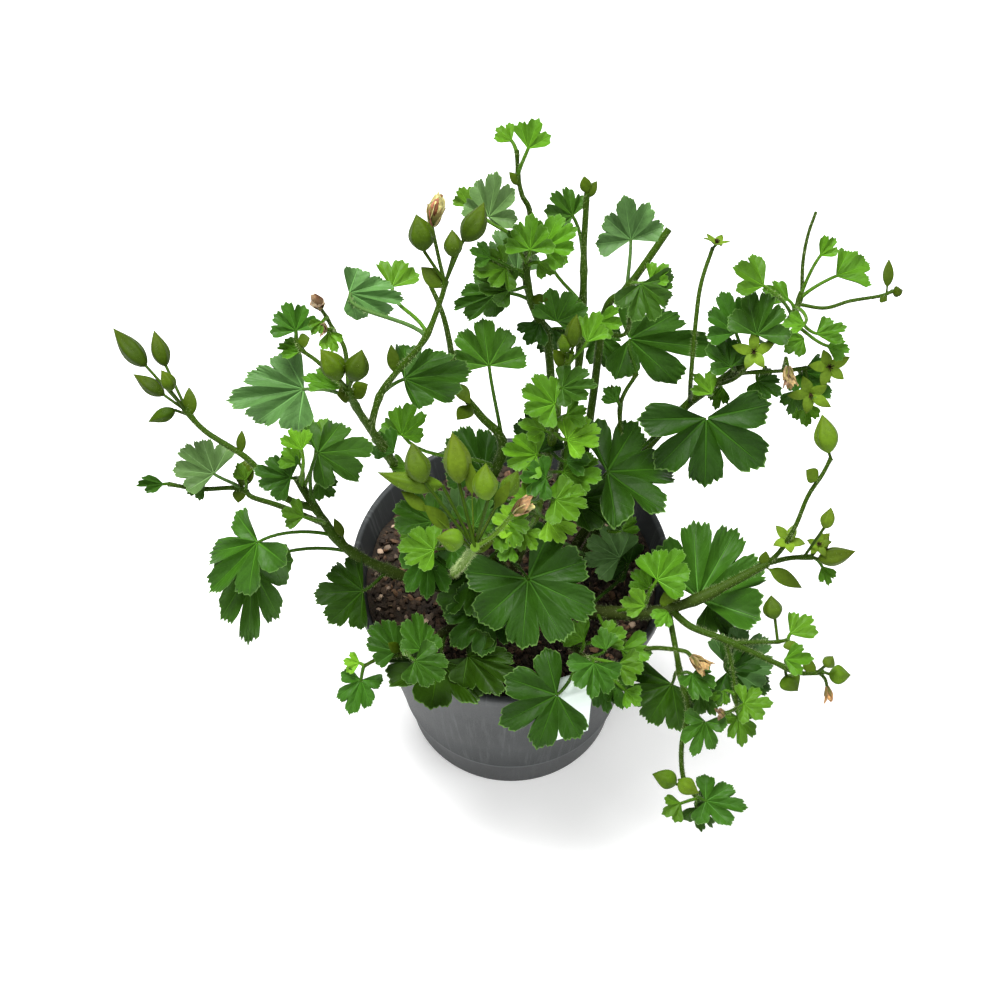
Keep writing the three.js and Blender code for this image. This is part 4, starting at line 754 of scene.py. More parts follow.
def tube(path, widths, heights=None, sides=10, facing=None, ridges=0.0, **values):
    """A closed tube along a path. Round each of its points lies an ellipse square to the path, with
    the half width and half height given there, and as many ridges as sepals if asked for; each end
    closes in a point."""
    path = np.asarray(path, float)
    steps = len(path)
    widths = np.broadcast_to(widths, steps)[:, None, None]
    heights = widths if heights is None else np.broadcast_to(heights, steps)[:, None, None]
    along = unit(np.gradient(path, axis=0))
    if facing is None:
        facing = np.eye(3)[np.abs(along).max(axis=0).argmin()]
    side = unit(np.cross(along, facing))[:, None]
    normal = np.cross(side[:, 0], along)[:, None]
    turn = np.linspace(0, 2 * np.pi, sides, endpoint=False)[None, :, None]
    ridge = 1 + np.broadcast_to(ridges, steps)[:, None, None] * np.cos(SEPALS * turn)
    rings = path[:, None] + ridge * (widths * np.cos(turn) * side + heights * np.sin(turn) * normal)
    points = np.concatenate([rings.reshape(-1, 3), path[:1], path[-1:]])
    first, last = steps * sides, steps * sides + 1
    here = np.arange(sides)
    after = (here + 1) % sides
    end = (steps - 1) * sides
    faces = [
        grid_quads(steps, sides, wrapped=True),
        np.stack([after, here, np.full(sides, first)], -1),
        np.stack([end + here, end + after, np.full(sides, last)], -1),
    ]
    spread = {}
    for name, value in values.items():
        value = np.broadcast_to(value, (steps, np.shape(value)[-1]))
        spread[name] = np.concatenate([np.repeat(value, sides, axis=0), value[:1], value[-1:]])
    return Surface(points, faces, **spread).outward()


def thin_sheet(sheet, normal, thickness, **values):
    """A thin closed body from a grid of points (rows, columns, 3): the grid moved half the
    thickness along the normal to either side, with a strip of quads round the border."""
    rows, columns = sheet.shape[:2]
    half = np.broadcast_to(thickness, (rows, columns))[..., None] / 2
    top = (sheet + half * normal).reshape(-1, 3)
    bottom = (sheet - half * normal).reshape(-1, 3)
    count = rows * columns
    number = np.arange(count).reshape(rows, columns)
    loop = np.concatenate([number[0, :-1], number[:-1, -1], number[-1, :0:-1], number[:0:-1, 0]])
    after = np.roll(loop, -1)
    quads = grid_quads(rows, columns)
    faces = [quads, quads[:, ::-1] + count, np.stack([loop, loop + count, after + count, after], -1)]
    spread = {name: np.tile(np.reshape(value, (count, -1)), (2, 1)) for name, value in values.items()}
    spread["under"] = np.repeat([[0.0], [1.0]], count, axis=0)
    return Surface(np.concatenate([top, bottom]), faces, **spread).outward()


def curve_through(points, steps):
    """A smooth path through points, with that many steps in each span. Each span is a cubic whose
    slope at a point is half of the way from the point before to the point after."""
    points = np.asarray(points, float)
    padded = np.vstack([2 * points[0] - points[1], points, 2 * points[-1] - points[-2]])
    before, start, end, after = (padded[i:len(padded) - 3 + i, None] for i in range(4))
    share = np.linspace(0, 1, steps, endpoint=False)[None, :, None]
    slope_in, slope_out = (end - before) / 2, (after - start) / 2
    path = (
        (2 * share**3 - 3 * share**2 + 1) * start
        + (share**3 - 2 * share**2 + share) * slope_in
        + (3 * share**2 - 2 * share**3) * end
        + (share**3 - share**2) * slope_out
    )
    return np.vstack([path.reshape(-1, 3), points[-1]])


def bezier(points, steps):
    """A cubic Bezier path from its four control points."""
    share = np.linspace(0, 1, steps)[:, None]
    weights = ((1 - share) ** 3, 3 * share * (1 - share) ** 2, 3 * share**2 * (1 - share), share**3)
    return sum(weight * point for weight, point in zip(weights, points))


def on_path(path, index):
    """The point at a fractional index of a path."""
    index = np.clip(index, 0, len(path) - 1.001)
    low = np.floor(index).astype(int)
    return blend(path[low], path[low + 1], index - low)


def hairs(path, radii, per_millimetre, length, tone):
    """Fine hairs on a tube: straight three-sided spikes that stand on it at random places, each leant a
    little its own way.
    """
    path = np.asarray(path, float)
    gaps = np.linalg.norm(np.diff(path, axis=0), axis=1)
    reach = np.concatenate([[0], np.cumsum(gaps)])
    count = max(3, int(reach[-1] * per_millimetre))
    index = np.interp(rng.uniform(0, reach[-1], count), reach, np.arange(len(path)))
    centre = on_path(path, index)
    radius = np.interp(index, np.arange(len(path)), np.broadcast_to(radii, len(path)))
    along = unit(np.gradient(path, axis=0))[np.clip(index.astype(int), 0, len(path) - 1)]
    outward = unit(np.cross(along, unit(rng.normal(size=(count, 3)))))
    direction = unit(outward + 0.3 * rng.normal(size=(count, 3)))
    root = centre + outward * (radius * 0.85)[:, None]
    across = unit(np.cross(direction, along + 0.01))
    above = np.cross(direction, across)
    turn = np.linspace(0, 2 * np.pi, 3, endpoint=False)[None, :, None]
    ring = np.cos(turn) * across[:, None] + np.sin(turn) * above[:, None]
    base = root[:, None] + HAIR_RADIUS * ring
    tall = rng.uniform(*HAIR_RANGE, count)[:, None] * length + 0.15 * radius[:, None]
    tip = (root + direction * tall)[:, None]
    points = np.concatenate([base, tip], axis=1).reshape(-1, 3)
    start = 4 * np.arange(count)[:, None]
    triangles = np.array([[0, 1, 3], [1, 2, 3], [2, 0, 3], [0, 2, 1]])
    faces = (start[:, :, None] + triangles[None]).reshape(-1, 3)
    return Surface(points, [faces], tone=np.asarray(tone, float))


def leaf_axes(base, tip):
    """The way along a leaf's middle vein, and the way out of its face: square to the vein, towards
    the light, and leant to one side by chance."""
    forward = unit(tip - base)
    normal = unit(LEAF_FACING - LEAF_FACING.dot(forward) * forward)
    normal = unit(normal + rng.uniform(-LEAF_LEAN, LEAF_LEAN) * np.cross(normal, forward))
    return forward, normal


def leaf_detail(length):
    """How many teeth each lobe of a blade of that length has, how many steps its edge takes, and
    how many rings lie between the blade's base and its edge."""
    if length > LARGE_LEAF:
        return 9, 36, 12
    if length > SMALL_LEAF:
        return 9, 18, 10
    return 3, 18, 8


def blade(base, tip, kind, width, tone):
    """A leaf's blade. A point of it has an angle from the middle vein and a share of the way out.
    Its reach falls from the point of a lobe to the cuts beside it, each cut of a depth of its own,
    and to the notches between the teeth. Its height cups, rises between the lobes' veins, droops
    at the edge, and waves."""
    shape = LEAF_KINDS[kind]
    lobes, spread = shape["lobes"], shape["spread"]
    length = np.linalg.norm(tip - base)
    forward, normal = leaf_axes(base, tip)
    side = np.cross(normal, forward)
    teeth, samples, rings = leaf_detail(length)

    # Where a point lies: its angle and share, its lobe, and how far it is from that lobe's vein
    # towards the cut beside it.
    pitch = 2 * spread / lobes
    angle = np.linspace(-spread, spread, lobes * samples + 1)[:, None]
    share = np.linspace(0.03, 1, rings)[None, :]
    outermost = (lobes - 1) / 2
    lobe = np.clip(np.round(angle / pitch), -outermost, outermost)
    off = np.minimum(1, np.abs(angle / pitch - lobe) * 2)
    cut_beside = np.clip(np.floor(angle / pitch + outermost).astype(int) + 1, 0, lobes)

    # How far out it lies.
    depth = shape["cut"] * rng.uniform(*CUT_RANGE, lobes + 1)[cut_beside]
    scallop = 1 - np.abs(2 * ((off * 1.5 + 0.5) % 1) - 1)
    tooth = 1 - np.abs(2 * ((off * teeth / 2 + 0.5) % 1) - 1)
    phases = rng.uniform(0, 2 * np.pi, 5)
    uneven = 1 + 0.035 * np.sin(np.radians(2.3 * angle) + phases[0])
    bite = rng.uniform(*TOOTH_RANGE, (lobes * samples + 1, 1))
    notches = NOTCH_DEPTH * (1 - scallop) ** 1.3 + bite * (1 - tooth)
    longer = rng.uniform(*LOBE_RANGE, lobes)[(lobe + outermost).round().astype(int)]
    uneven = uneven * (1 + longer * (1 - off**2))
    reach = 1 - shape["point"] * off - depth * off ** shape["sharpness"]
    reach = reach * (1 - shape["taper"] * np.abs(lobe))
    reach = reach * uneven * (1 - notches * share**5)
    distance = reach * share * length
    turn = np.radians(angle + 3 * np.sin(np.radians(1.7 * angle) + phases[1]))

    # How high it lies, and its place in space.
    between = np.sin(0.5 * np.pi * off) ** 2
    height = shape["cup"] * share**2 + shape["pleat"] * share * between - EDGE_DROOP * share**4
    height = height + WAVE_HEIGHT * share**3 * np.sin(WAVES * turn + phases[2])
    height = height + RUFFLE_HEIGHT * share**4 * np.sin(RUFFLES * turn + phases[3])
    height = height + 0.02 * share**6 * (tooth - 0.5)
    sheet = (
        base
        + (np.cos(turn) * distance)[..., None] * forward
        + (np.sin(turn) * distance * width)[..., None] * side
        + (height * length)[..., None] * normal
    )

    # How far it lies along its lobe's vein and beside it, for the veins' pattern.
    from_vein = np.radians(angle - lobe * pitch)
    vein_map = np.stack(
        [
            distance / length * np.cos(from_vein),
            distance / length * np.abs(np.sin(from_vein)),
            np.broadcast_to(share, distance.shape),
        ],
        -1,
    )
    green = np.array(TONES[tone]) * rng.uniform(0.8, 1.2) * rng.uniform(0.93, 1.07, 3)
    tones = np.broadcast_to(green, sheet.shape)
    thickness = BLADE_THICKNESS * (1 - EDGE_THINNING * share**3)
    return thin_sheet(sheet, normal, thickness, tone=tones, vein_map=vein_map)


def petiole_path(start, base, tip):
    """The path of a leaf's petiole: up from the stem, and into the blade at less than a right
    angle from its middle vein."""
    forward = unit(tip - base)
    normal = unit(LEAF_FACING - LEAF_FACING.dot(forward) * forward)
    gap = np.linalg.norm(base - start)
    chord = (base - start) / gap
    ahead = chord.dot(forward)
    flat = np.clip(0.35 + 0.65 * ahead, 0.2, 0.8)
    aside = unit(chord - ahead * forward + 0.05 * normal)
    arrival = unit(flat * forward + (1 - flat) * aside)
    departure = unit(UP + 1.2 * chord)
    controls = (start, start + 0.3 * gap * departure, base - 0.32 * gap * arrival, base + 0.4 * forward)
    return bezier(controls, 12)


def bud(base, tip, radius, tone):
    """A bud: a slightly bent body of five ridged sepals, widest before its middle, whose point
    draws out."""
    share = np.linspace(0, 1, 18)
    across = unit(np.cross(tip - base, TO_VIEWER))
    bend = rng.uniform(-0.06, 0.06) * np.linalg.norm(tip - base) * np.sin(np.pi * share)
    path = base + share[:, None] * (tip - base) + bend[:, None] * across
    widths = 0.5 * (1 - share) ** 2 + 0.84 * radius * np.sin(np.pi * share**0.78)
    tones = blend(tone, BUD_TIP_TONE, share**2) * rng.uniform(0.8, 1.15) * rng.uniform(0.92, 1.08, 3)
    ridges = 0.11 * np.sin(np.pi * share) ** 0.7
    return tube(path, np.maximum(widths, 0.05), sides=30, ridges=ridges, tone=tones), path, widths


def bract(start, tip, width, tone):
    """A pointed bract on a short stalk: a flat spear that is arched towards the light."""
    length = np.linalg.norm(tip - start)
    blade_share = min(0.92, 2.4 * width / length)
    share = np.linspace(0, 1, 20)
    arch = 0.24 * length * (share * (1 - share))[:, None] * LEAF_FACING
    path = start + share[:, None] * (tip - start) + arch
    out = np.clip((share - 1 + blade_share) / blade_share, 0, 1)
    widths = 0.4 * (1 - share) + 0.44 * width * np.sin(np.pi * out**0.8) ** 0.9
    heights = 0.36 * (1 - share) + 0.13
    tones = blend(tone, BUD_TIP_TONE, 0.8 * share) * rng.uniform(0.8, 1.1)
    return tube(path, np.maximum(widths, 0.04), heights, sides=10, facing=LEAF_FACING, tone=tones)


def petal(seat, axis, outward, length, width, curl, tone):
    """A dried petal: a strip that leaves the seat, widens, and curls out or in with crumples."""
    along = np.linspace(0, 1, 10)[:, None]
    across = np.linspace(-1, 1, 8)[None, :]
    phases = rng.uniform(0, 2 * np.pi, 4)
    side = np.cross(axis, outward)
    wide = width * np.sin(np.pi * (0.12 + 0.72 * along)) ** 0.8
    out = width * (0.1 + curl * along**1.6)
    out = out + 0.16 * width * np.sin(4 * across + 5 * along + phases[0]) * along
    out = out - 0.28 * width * across**2 * along
    rise = length * along * (1 - 0.12 * across**2) + 0.07 * length * np.sin(5 * across + phases[1]) * along
    slide = wide * across * 0.62 + 0.1 * width * np.sin(6 * along + phases[2]) * along
    sheet = seat + rise[..., None] * axis + out[..., None] * outward + slide[..., None] * side
    fade = np.broadcast_to(0.45 + 0.35 * along + 0.12 * np.sin(7 * across + phases[3]), (10, 8))
    tones = fade[..., None] * np.array(tone)
    return thin_sheet(sheet, outward, 0.16, tone=tones)


def bloom(seat, tip, width, tones, curl):
    """A dried flower: petals round its axis, between the five narrow sepals of its calyx."""
    axis = unit(tip - seat)
    length = np.linalg.norm(tip - seat)
    across = unit(np.cross(axis, UP + 0.01))
    above = np.cross(axis, across)
    surfaces = []
    for k, tone in enumerate(tones):
        turn = 2 * np.pi * (k + rng.uniform(-0.15, 0.15)) / len(tones)
        outward = np.cos(turn) * across + np.sin(turn) * above
        reach = length * rng.uniform(0.8, 1.02)
        surfaces.append(petal(seat, axis, outward, reach, 0.5 * width, curl * rng.uniform(0.7, 1.2), tone))
    sepals = []
    for k in range(SEPALS):
        turn = 2 * np.pi * (k + 0.5) / SEPALS
        outward = np.cos(turn) * across + np.sin(turn) * above
        end = seat + axis * 0.55 * length + outward * 0.34 * width
        share = np.linspace(0, 1, 8)
        path = seat + share[:, None] * (end - seat) + (0.25 * np.sin(np.pi * share))[:, None] * outward
        widths = np.maximum(0.16 * width * np.sin(np.pi * (0.2 + 0.8 * share)), 0.05)
        greens = blend(BUD_TONE, SEPAL_TIP_TONE, share)
        sepals.append(tube(path, widths, 0.22, sides=8, facing=outward, tone=greens))
    return surfaces, sepals


def star(seat, facing, radius):
    """An open calyx whose flower has dropped: five pointed sepals round a dry dark middle."""
    axis = unit(facing - seat)
    across = unit(np.cross(axis, UP + 0.01))
    above = np.cross(axis, across)
    share = np.linspace(0, 1, 12)
    start = rng.uniform(0, 2 * np.pi)
    surfaces = []
    for k in range(SEPALS):
        turn = start + 2 * np.pi * (k + rng.uniform(-0.12, 0.12)) / SEPALS
        outward = np.cos(turn) * across + np.sin(turn) * above
        reach = radius * rng.uniform(0.85, 1.1)
        rise = rng.uniform(0.5, 1.0) * reach * (share - 0.45 * share**2)
        path = seat + (reach * share)[:, None] * outward + rise[:, None] * axis
        widths = 0.27 * radius * np.sin(np.pi * (0.12 + 0.88 * share)) ** 0.9
        tones = blend(SEPAL_TONE, BUD_TIP_TONE, share**2) * rng.uniform(0.8, 1.2)
        surfaces.append(tube(path, np.maximum(widths, 0.04), 0.2, sides=10, facing=axis, tone=tones))
    for k in range(7):
        turn = 2 * np.pi * k / 7
        outward = np.cos(turn) * across + np.sin(turn) * above
        line = seat + np.outer(np.linspace(0, 1, 4) * radius * 0.4, axis + rng.uniform(0.1, 0.5) * outward)
        surfaces.append(tube(line, 0.2, sides=6, tone=np.array(CORE_TONE)))
    return surfaces


def turned(radii, heights, segments):
    """A body turned round the upright axis. Each ring of it lies at a radius, at heights that can
    differ round the ring; its first and last rings are single points on the axis."""
    angle = np.linspace(0, 2 * np.pi, segments, endpoint=False)
    radii = np.asarray(radii, float)[:, None]
    rings = np.stack(
        [radii * np.cos(angle), radii * np.sin(angle), np.broadcast_to(heights, (len(radii), segments))], -1
    )
    points = np.concatenate([rings.reshape(-1, 3), rings[:1, 0] * (0, 0, 1), rings[-1:, 0] * (0, 0, 1)])
    count = len(radii) * segments
    here = np.arange(segments)
    after = (here + 1) % segments
    end = count - segments
    faces = [
        grid_quads(len(radii), segments, wrapped=True),
        np.stack([after, here, np.full(segments, count)], -1),
        np.stack([end + here, end + after, np.full(segments, count + 1)], -1),
    ]
    return Surface(points, faces).outward()


def wall_outside(height):
    """The radius of the pot's wall outside at a height above its underside."""
    return BASE_RADIUS + (RIM_RADIUS - LIP_WIDTH - BASE_RADIUS) * height / POT_HEIGHT


def wall_inside(height):
    """The radius of the pot's wall inside at a height above its underside."""
    low = wall_outside(FLOOR_THICKNESS) - WALL - FOOT_STEP
    share = (height - FLOOR_THICKNESS) / (POT_HEIGHT - FLOOR_THICKNESS)
    return low + (RIM_RADIUS - LIP_WIDTH - low) * share


def pot_surface():
    """The pot: a smooth wall with a foot band, a rolled lip and a flat floor, turned round +Z."""
    lip_foot = POT_HEIGHT - LIP_HEIGHT
    profile = [
        # The underside, its round edge and the foot band with its step.
        (2, 0), (BASE_RADIUS - 1.2, 0), (BASE_RADIUS - 0.35, 0.3), (BASE_RADIUS, 1.2),
        (wall_outside(FOOT_HEIGHT) - FOOT_STEP, FOOT_HEIGHT - 1),
        (wall_outside(FOOT_HEIGHT) - 0.2, FOOT_HEIGHT - 0.4),
        (wall_outside(FOOT_HEIGHT) + 0.15, FOOT_HEIGHT),
        (wall_outside(FOOT_HEIGHT) + 0.05, FOOT_HEIGHT + 0.7),
        # The wall outside, up to the lip.
        (wall_outside(40), 40), (wall_outside(66), 66),
        (wall_outside(lip_foot) - 0.1, lip_foot - 0.5),
        (wall_outside(lip_foot) + 0.4, lip_foot),
        # The rolled lip.
        (RIM_RADIUS - 0.7, lip_foot), (RIM_RADIUS - 0.4, lip_foot + 0.4),
        (RIM_RADIUS - 0.1, POT_HEIGHT - 1.6), (RIM_RADIUS - 0.25, POT_HEIGHT - 0.5),
        (RIM_RADIUS - 1, POT_HEIGHT), (wall_inside(POT_HEIGHT) + 0.5, POT_HEIGHT),
        # The wall inside and the floor.
        (wall_inside(POT_HEIGHT), POT_HEIGHT - 0.5), (wall_inside(60), 60), (wall_inside(30), 30),
        (wall_inside(FLOOR_THICKNESS), FLOOR_THICKNESS), (2, FLOOR_THICKNESS),
    ]
    radii, heights = np.array(profile).T
    return turned(radii, heights[:, None], POT_SEGMENTS)


def cut_drain_holes(pot):
    """Cuts the round drain holes out of the pot's floor."""
    for turn in np.radians([45, 135, 225, 315]):
        x, y = DRAIN_CIRCLE * np.cos(turn), DRAIN_CIRCLE * np.sin(turn)
        drill = mesh_of("drill", tube([(x, y, -3), (x, y, 1), (x, y, 5)], DRAIN_RADIUS, sides=32))
        cutter = bpy.data.objects.new("drill", drill)
        frame_scene.collection.objects.link(cutter)
        cut = pot.modifiers.new("drain", "BOOLEAN")
        cut.object = cutter
        cut.solver = "EXACT"
        seen = pot.evaluated_get(bpy.context.evaluated_depsgraph_get())
        pot.data = bpy.data.meshes.new_from_object(seen)
        pot.modifiers.clear()
        bpy.data.objects.remove(cutter)
        bpy.data.meshes.remove(drill)


def soil_height(x, y):
    """The height of the peat's rough top: broad mounds, and small lumps over them."""
    mounds = sum(height * np.sin(along_x * x + along_y * y) for height, along_x, along_y in SOIL_MOUNDS)
    lumps = 0.35 * np.sin(1.1 * x + 2 * np.sin(0.7 * y)) * np.sin(1.3 * y + 2 * np.sin(0.9 * x))
    crumbs = 0.18 * np.sin(3.1 * x + 1.7 * y) * np.sin(2.7 * y - 1.9 * x)
    return SOIL_TOP + mounds + lumps + crumbs


def soil_surface():
    """The peat: a plug that fills the pot, with a rough top."""
    angle = np.linspace(0, 2 * np.pi, SOIL_SEGMENTS, endpoint=False)
    bottom = FLOOR_THICKNESS + SOIL_GAP
    top_radius = wall_inside(SOIL_TOP) - SOIL_GAP
    tops = np.linspace(0.6, top_radius, SOIL_RINGS)[:, None]
    heights = soil_height(tops * np.cos(angle), tops * np.sin(angle))
    low_radius = wall_inside(bottom) - SOIL_GAP
    radii = np.concatenate([tops[:, 0], [low_radius, 1.0]])
    heights = np.concatenate([heights, np.full((2, SOIL_SEGMENTS), bottom)])
    return turned(radii, heights, SOIL_SEGMENTS)


def grains(count, size, stretch, tone, lift):
    """Loose bits on the peat: grains of twelve corners, whose triangles join three corners that lie
    next to each other. Each is stretched and turned its own way."""
    golden = (1 + 5**0.5) / 2
    corners = np.array([(0, a, b * golden) for a in (-1, 1) for b in (-1, 1)])
    corners = unit(np.concatenate([np.roll(corners, shift, axis=1) for shift in range(3)]))
    apart = np.linalg.norm(corners[:, None] - corners[None], axis=-1)
    near = (apart > 0) & (apart < 1.2)
    first, second, third = np.nonzero(near[:, :, None] & near[:, None, :] & near[None, :, :])
    once = (first < second) & (second < third)
    triangles = np.stack([first[once], second[once], third[once]], -1)
    middle = corners[triangles].mean(axis=1)
    start, middle_corner, end = (corners[triangles[:, corner]] for corner in range(3))
    spin = np.cross(middle_corner - start, end - start)
    inward = (spin * middle).sum(axis=1) < 0
    triangles[inward] = triangles[inward][:, ::-1]

    radius = (wall_inside(SOIL_TOP) - BITS_FROM_WALL) * np.sqrt(rng.uniform(0, 1, count))
    angle = rng.uniform(0, 2 * np.pi, count)
    x, y = radius * np.cos(angle), radius * np.sin(angle)
    scale = rng.uniform(*size, count)
    centres = np.stack([x, y, soil_height(x, y) + lift * scale], -1)
    turns, _ = np.linalg.qr(rng.normal(size=(count, 3, 3)))
    turns = turns * np.sign(np.linalg.det(turns))[:, None, None]
    bodies = corners[None] * rng.uniform(0.75, 1.25, (count, 12, 1))
    bodies = bodies * np.array(stretch) * scale[:, None, None]
    points = centres[:, None] + np.einsum("cij,ckj->cki", turns, bodies)
    faces = (12 * np.arange(count)[:, None, None] + triangles[None]).reshape(-1, 3)
    tones = np.array(tone) * rng.uniform(0.35, 1.5, (count, 1))
    return Surface(points, [faces], tone=np.repeat(tones, 12, axis=0))


def label_surface():
    """The label: a thin strip folded over the rim, long outside and short inside, with rounded
    folds and a slight curl across it."""
    half = LABEL_THICKNESS / 2
    outside, over = RIM_RADIUS + LABEL_GAP + half, POT_HEIGHT + LABEL_GAP + half
    inside = LABEL_INNER_RADIUS - half
    low = POT_HEIGHT + LABEL_GAP - LABEL_OUTER_LENGTH
    inner_low = POT_HEIGHT + LABEL_GAP - LABEL_INNER_LENGTH
    corners = [
        (inside, inner_low), (inside, over - 4), (inside, over - 1), (inside + 1, over),
        ((inside + outside) / 2, over), (outside - 1, over), (outside, over - 1), (outside - 0.1, over - 4),
        (outside - 0.5 * LABEL_LEAN, (over + low) / 2), (outside - LABEL_LEAN, low),
    ]
    outline = curve_through([(radius, 0, height) for radius, height in corners], 5)
    run = unit(np.gradient(outline, axis=0))
    across = np.linspace(-1, 1, 9)[None, :, None]
    normal = np.cross(run, (0, 1, 0))[:, None]
    sheet = outline[:, None] + across * (0, LABEL_WIDTH / 2, 0) + 0.1 * (1 - across**2) * normal
    sine, cosine = np.sin(LABEL_AZIMUTH), np.cos(LABEL_AZIMUTH)
    turn = np.array([[cosine, -sine, 0], [sine, cosine, 0], [0, 0, 1]])
    return thin_sheet(sheet @ turn.T, normal @ turn.T, LABEL_THICKNESS * 0.8)


def mesh_of(name, surface):
    """A mesh in metres from a surface, with its values as point attributes, and smooth shading that
    stops at sharp edges."""
    mesh = bpy.data.meshes.new(name)
    sizes = np.concatenate([np.full(len(rows), rows.shape[1]) for rows in surface.faces])
    corners = np.concatenate([rows.ravel() for rows in surface.faces])
    mesh.vertices.add(len(surface.points))
    mesh.vertices.foreach_set("co", (surface.points * METRE).astype(np.float32).ravel())
    mesh.loops.add(len(corners))
    mesh.loops.foreach_set("vertex_index", corners.astype(np.int32))
    mesh.polygons.add(len(sizes))
    mesh.polygons.foreach_set("loop_start", (np.cumsum(sizes) - sizes).astype(np.int32))
    kinds = {1: ("FLOAT", "value"), 3: ("FLOAT_VECTOR", "vector")}
    for value_name, value in surface.values.items():
        kind, field = kinds[value.shape[1]]
        attribute = mesh.attributes.new(value_name, kind, "POINT")
        attribute.data.foreach_set(field, np.ascontiguousarray(value, np.float32).ravel())
    mesh.update(calc_edges=True)
    mesh.shade_smooth()
    mesh.set_sharp_from_angle(angle=SHARP_ANGLE)
    return mesh


def add_piece(name, surfaces, material, node):
    """One visible piece from its surfaces, in the place of a frame's node."""
    piece = bpy.data.objects.new(name, mesh_of(name, joined(surfaces)))
    piece.data.materials.append(material)
    frame_scene.collection.objects.link(piece)
    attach(piece, "root")
    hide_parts(node)
    return piece


class Wire:
    """A shader's socket that can be worked with like a number."""

    def __init__(self, paint, socket):
        self.paint = paint
        self.socket = socket

    def maths(self, operation, *values):
        """The result of a maths step on the given values."""
        return self.paint.node("ShaderNodeMath", values, operation=operation)

    def __add__(self, other):
        return self.maths("ADD", self, other)

    def __radd__(self, other):
        return self.maths("ADD", other, self)

    def __sub__(self, other):
        return self.maths("SUBTRACT", self, other)

    def __rsub__(self, other):
        return self.maths("SUBTRACT", other, self)

    def __mul__(self, other):
        return self.maths("MULTIPLY", self, other)

    def __rmul__(self, other):
        return self.maths("MULTIPLY", other, self)

    def __truediv__(self, other):
        return self.maths("DIVIDE", self, other)

    def __rtruediv__(self, other):
        return self.maths("DIVIDE", other, self)

    def __abs__(self):
        return self.maths("ABSOLUTE", self)

    def fraction(self):
        """What is left of the value above a whole number."""
        return self.maths("FRACT", self)

    def held(self):
        """The value kept between 0 and 1."""
        return self.maths("MINIMUM", self.maths("MAXIMUM", self, 0.0), 1.0)


class Paint:
    """A material built from shader nodes."""

    def __init__(self, name):
        self.material = bpy.data.materials.new(name)
        self.material.use_nodes = True
        self.tree = self.material.node_tree
        self.tree.nodes.clear()
        self.place = self.node("ShaderNodeTexCoord", output="Object")

    def node(self, kind, inputs=(), output=0, **settings):
        """A node with its settings and then its inputs, and one of its outputs."""
        made = self.tree.nodes.new(kind)
        for name, value in settings.items():
            setattr(made, name, value)
        pairs = inputs.items() if isinstance(inputs, dict) else enumerate(inputs)
        for key, value in pairs:
            if isinstance(value, Wire):
                self.tree.links.new(value.socket, made.inputs[key])
            else:
                made.inputs[key].default_value = value
        return Wire(self, made.outputs[output])

    def noise(self, size, detail=3.0, roughness=0.55):
        """Smooth noise about 0.5, with lumps of a size in millimetres."""
        inputs = {
            "Vector": self.place, "Scale": 1 / (size * METRE), "Detail": detail, "Roughness": roughness,
        }
        return self.node("ShaderNodeTexNoise", inputs)

    def net(self, size):
        """A net of cells of a size in millimetres: 0 on its lines, more inside its cells."""
        inputs = {"Vector": self.place, "Scale": 1 / (size * METRE)}
        return self.node("ShaderNodeTexVoronoi", inputs, "Distance", feature="DISTANCE_TO_EDGE")

    def value(self, name, output="Fac"):
        """A value kept at the points of the piece."""
        return self.node("ShaderNodeAttribute", output=output, attribute_name=name)

    def split(self, vector):
        """The three parts of a vector."""
        return [self.node("ShaderNodeSeparateXYZ", [vector], axis) for axis in "XYZ"]

    def mix(self, share, low, high):
        """The mix of two colours. The node has other sockets for numbers and vectors: its colours
        are sockets 6 and 7, and come out of socket 2."""
        inputs = {0: share, 6: low, 7: high}
        return self.node("ShaderNodeMix", inputs, 2, data_type="RGBA")

    def scaled(self, colour, by):
        """A colour made lighter or darker by a factor, which goes into socket 3."""
        return self.node("ShaderNodeVectorMath", {0: colour, 3: by}, operation="SCALE")

    def bump(self, height, depth):
        """The surface's tilt where a height from 0 to 1 stands that many millimetres deep."""
        inputs = {"Strength": 1.0, "Distance": depth * METRE, "Height": height}
        return self.node("ShaderNodeBump", inputs)

    def finished(self, colour, roughness, normal, **constants):
        """The material, with its colour, roughness and tilt; the rest are plain constants."""
        inputs = {"Base Color": colour, "Roughness": roughness, "Normal": normal}
        for name, value in constants.items():
            socket = name.replace("_", " ").title().replace("Ior", "IOR")
            inputs[socket] = value
        surface = self.node("ShaderNodeBsdfPrincipled", inputs)
        self.node_output(surface)
        return self.material

    def node_output(self, surface):
        """Ends the material in its output node."""
        end = self.tree.nodes.new("ShaderNodeOutputMaterial")
        self.tree.links.new(surface.socket, end.inputs["Surface"])


def colour4(tone):
    """A colour with full cover."""
    return (*tone, 1.0)


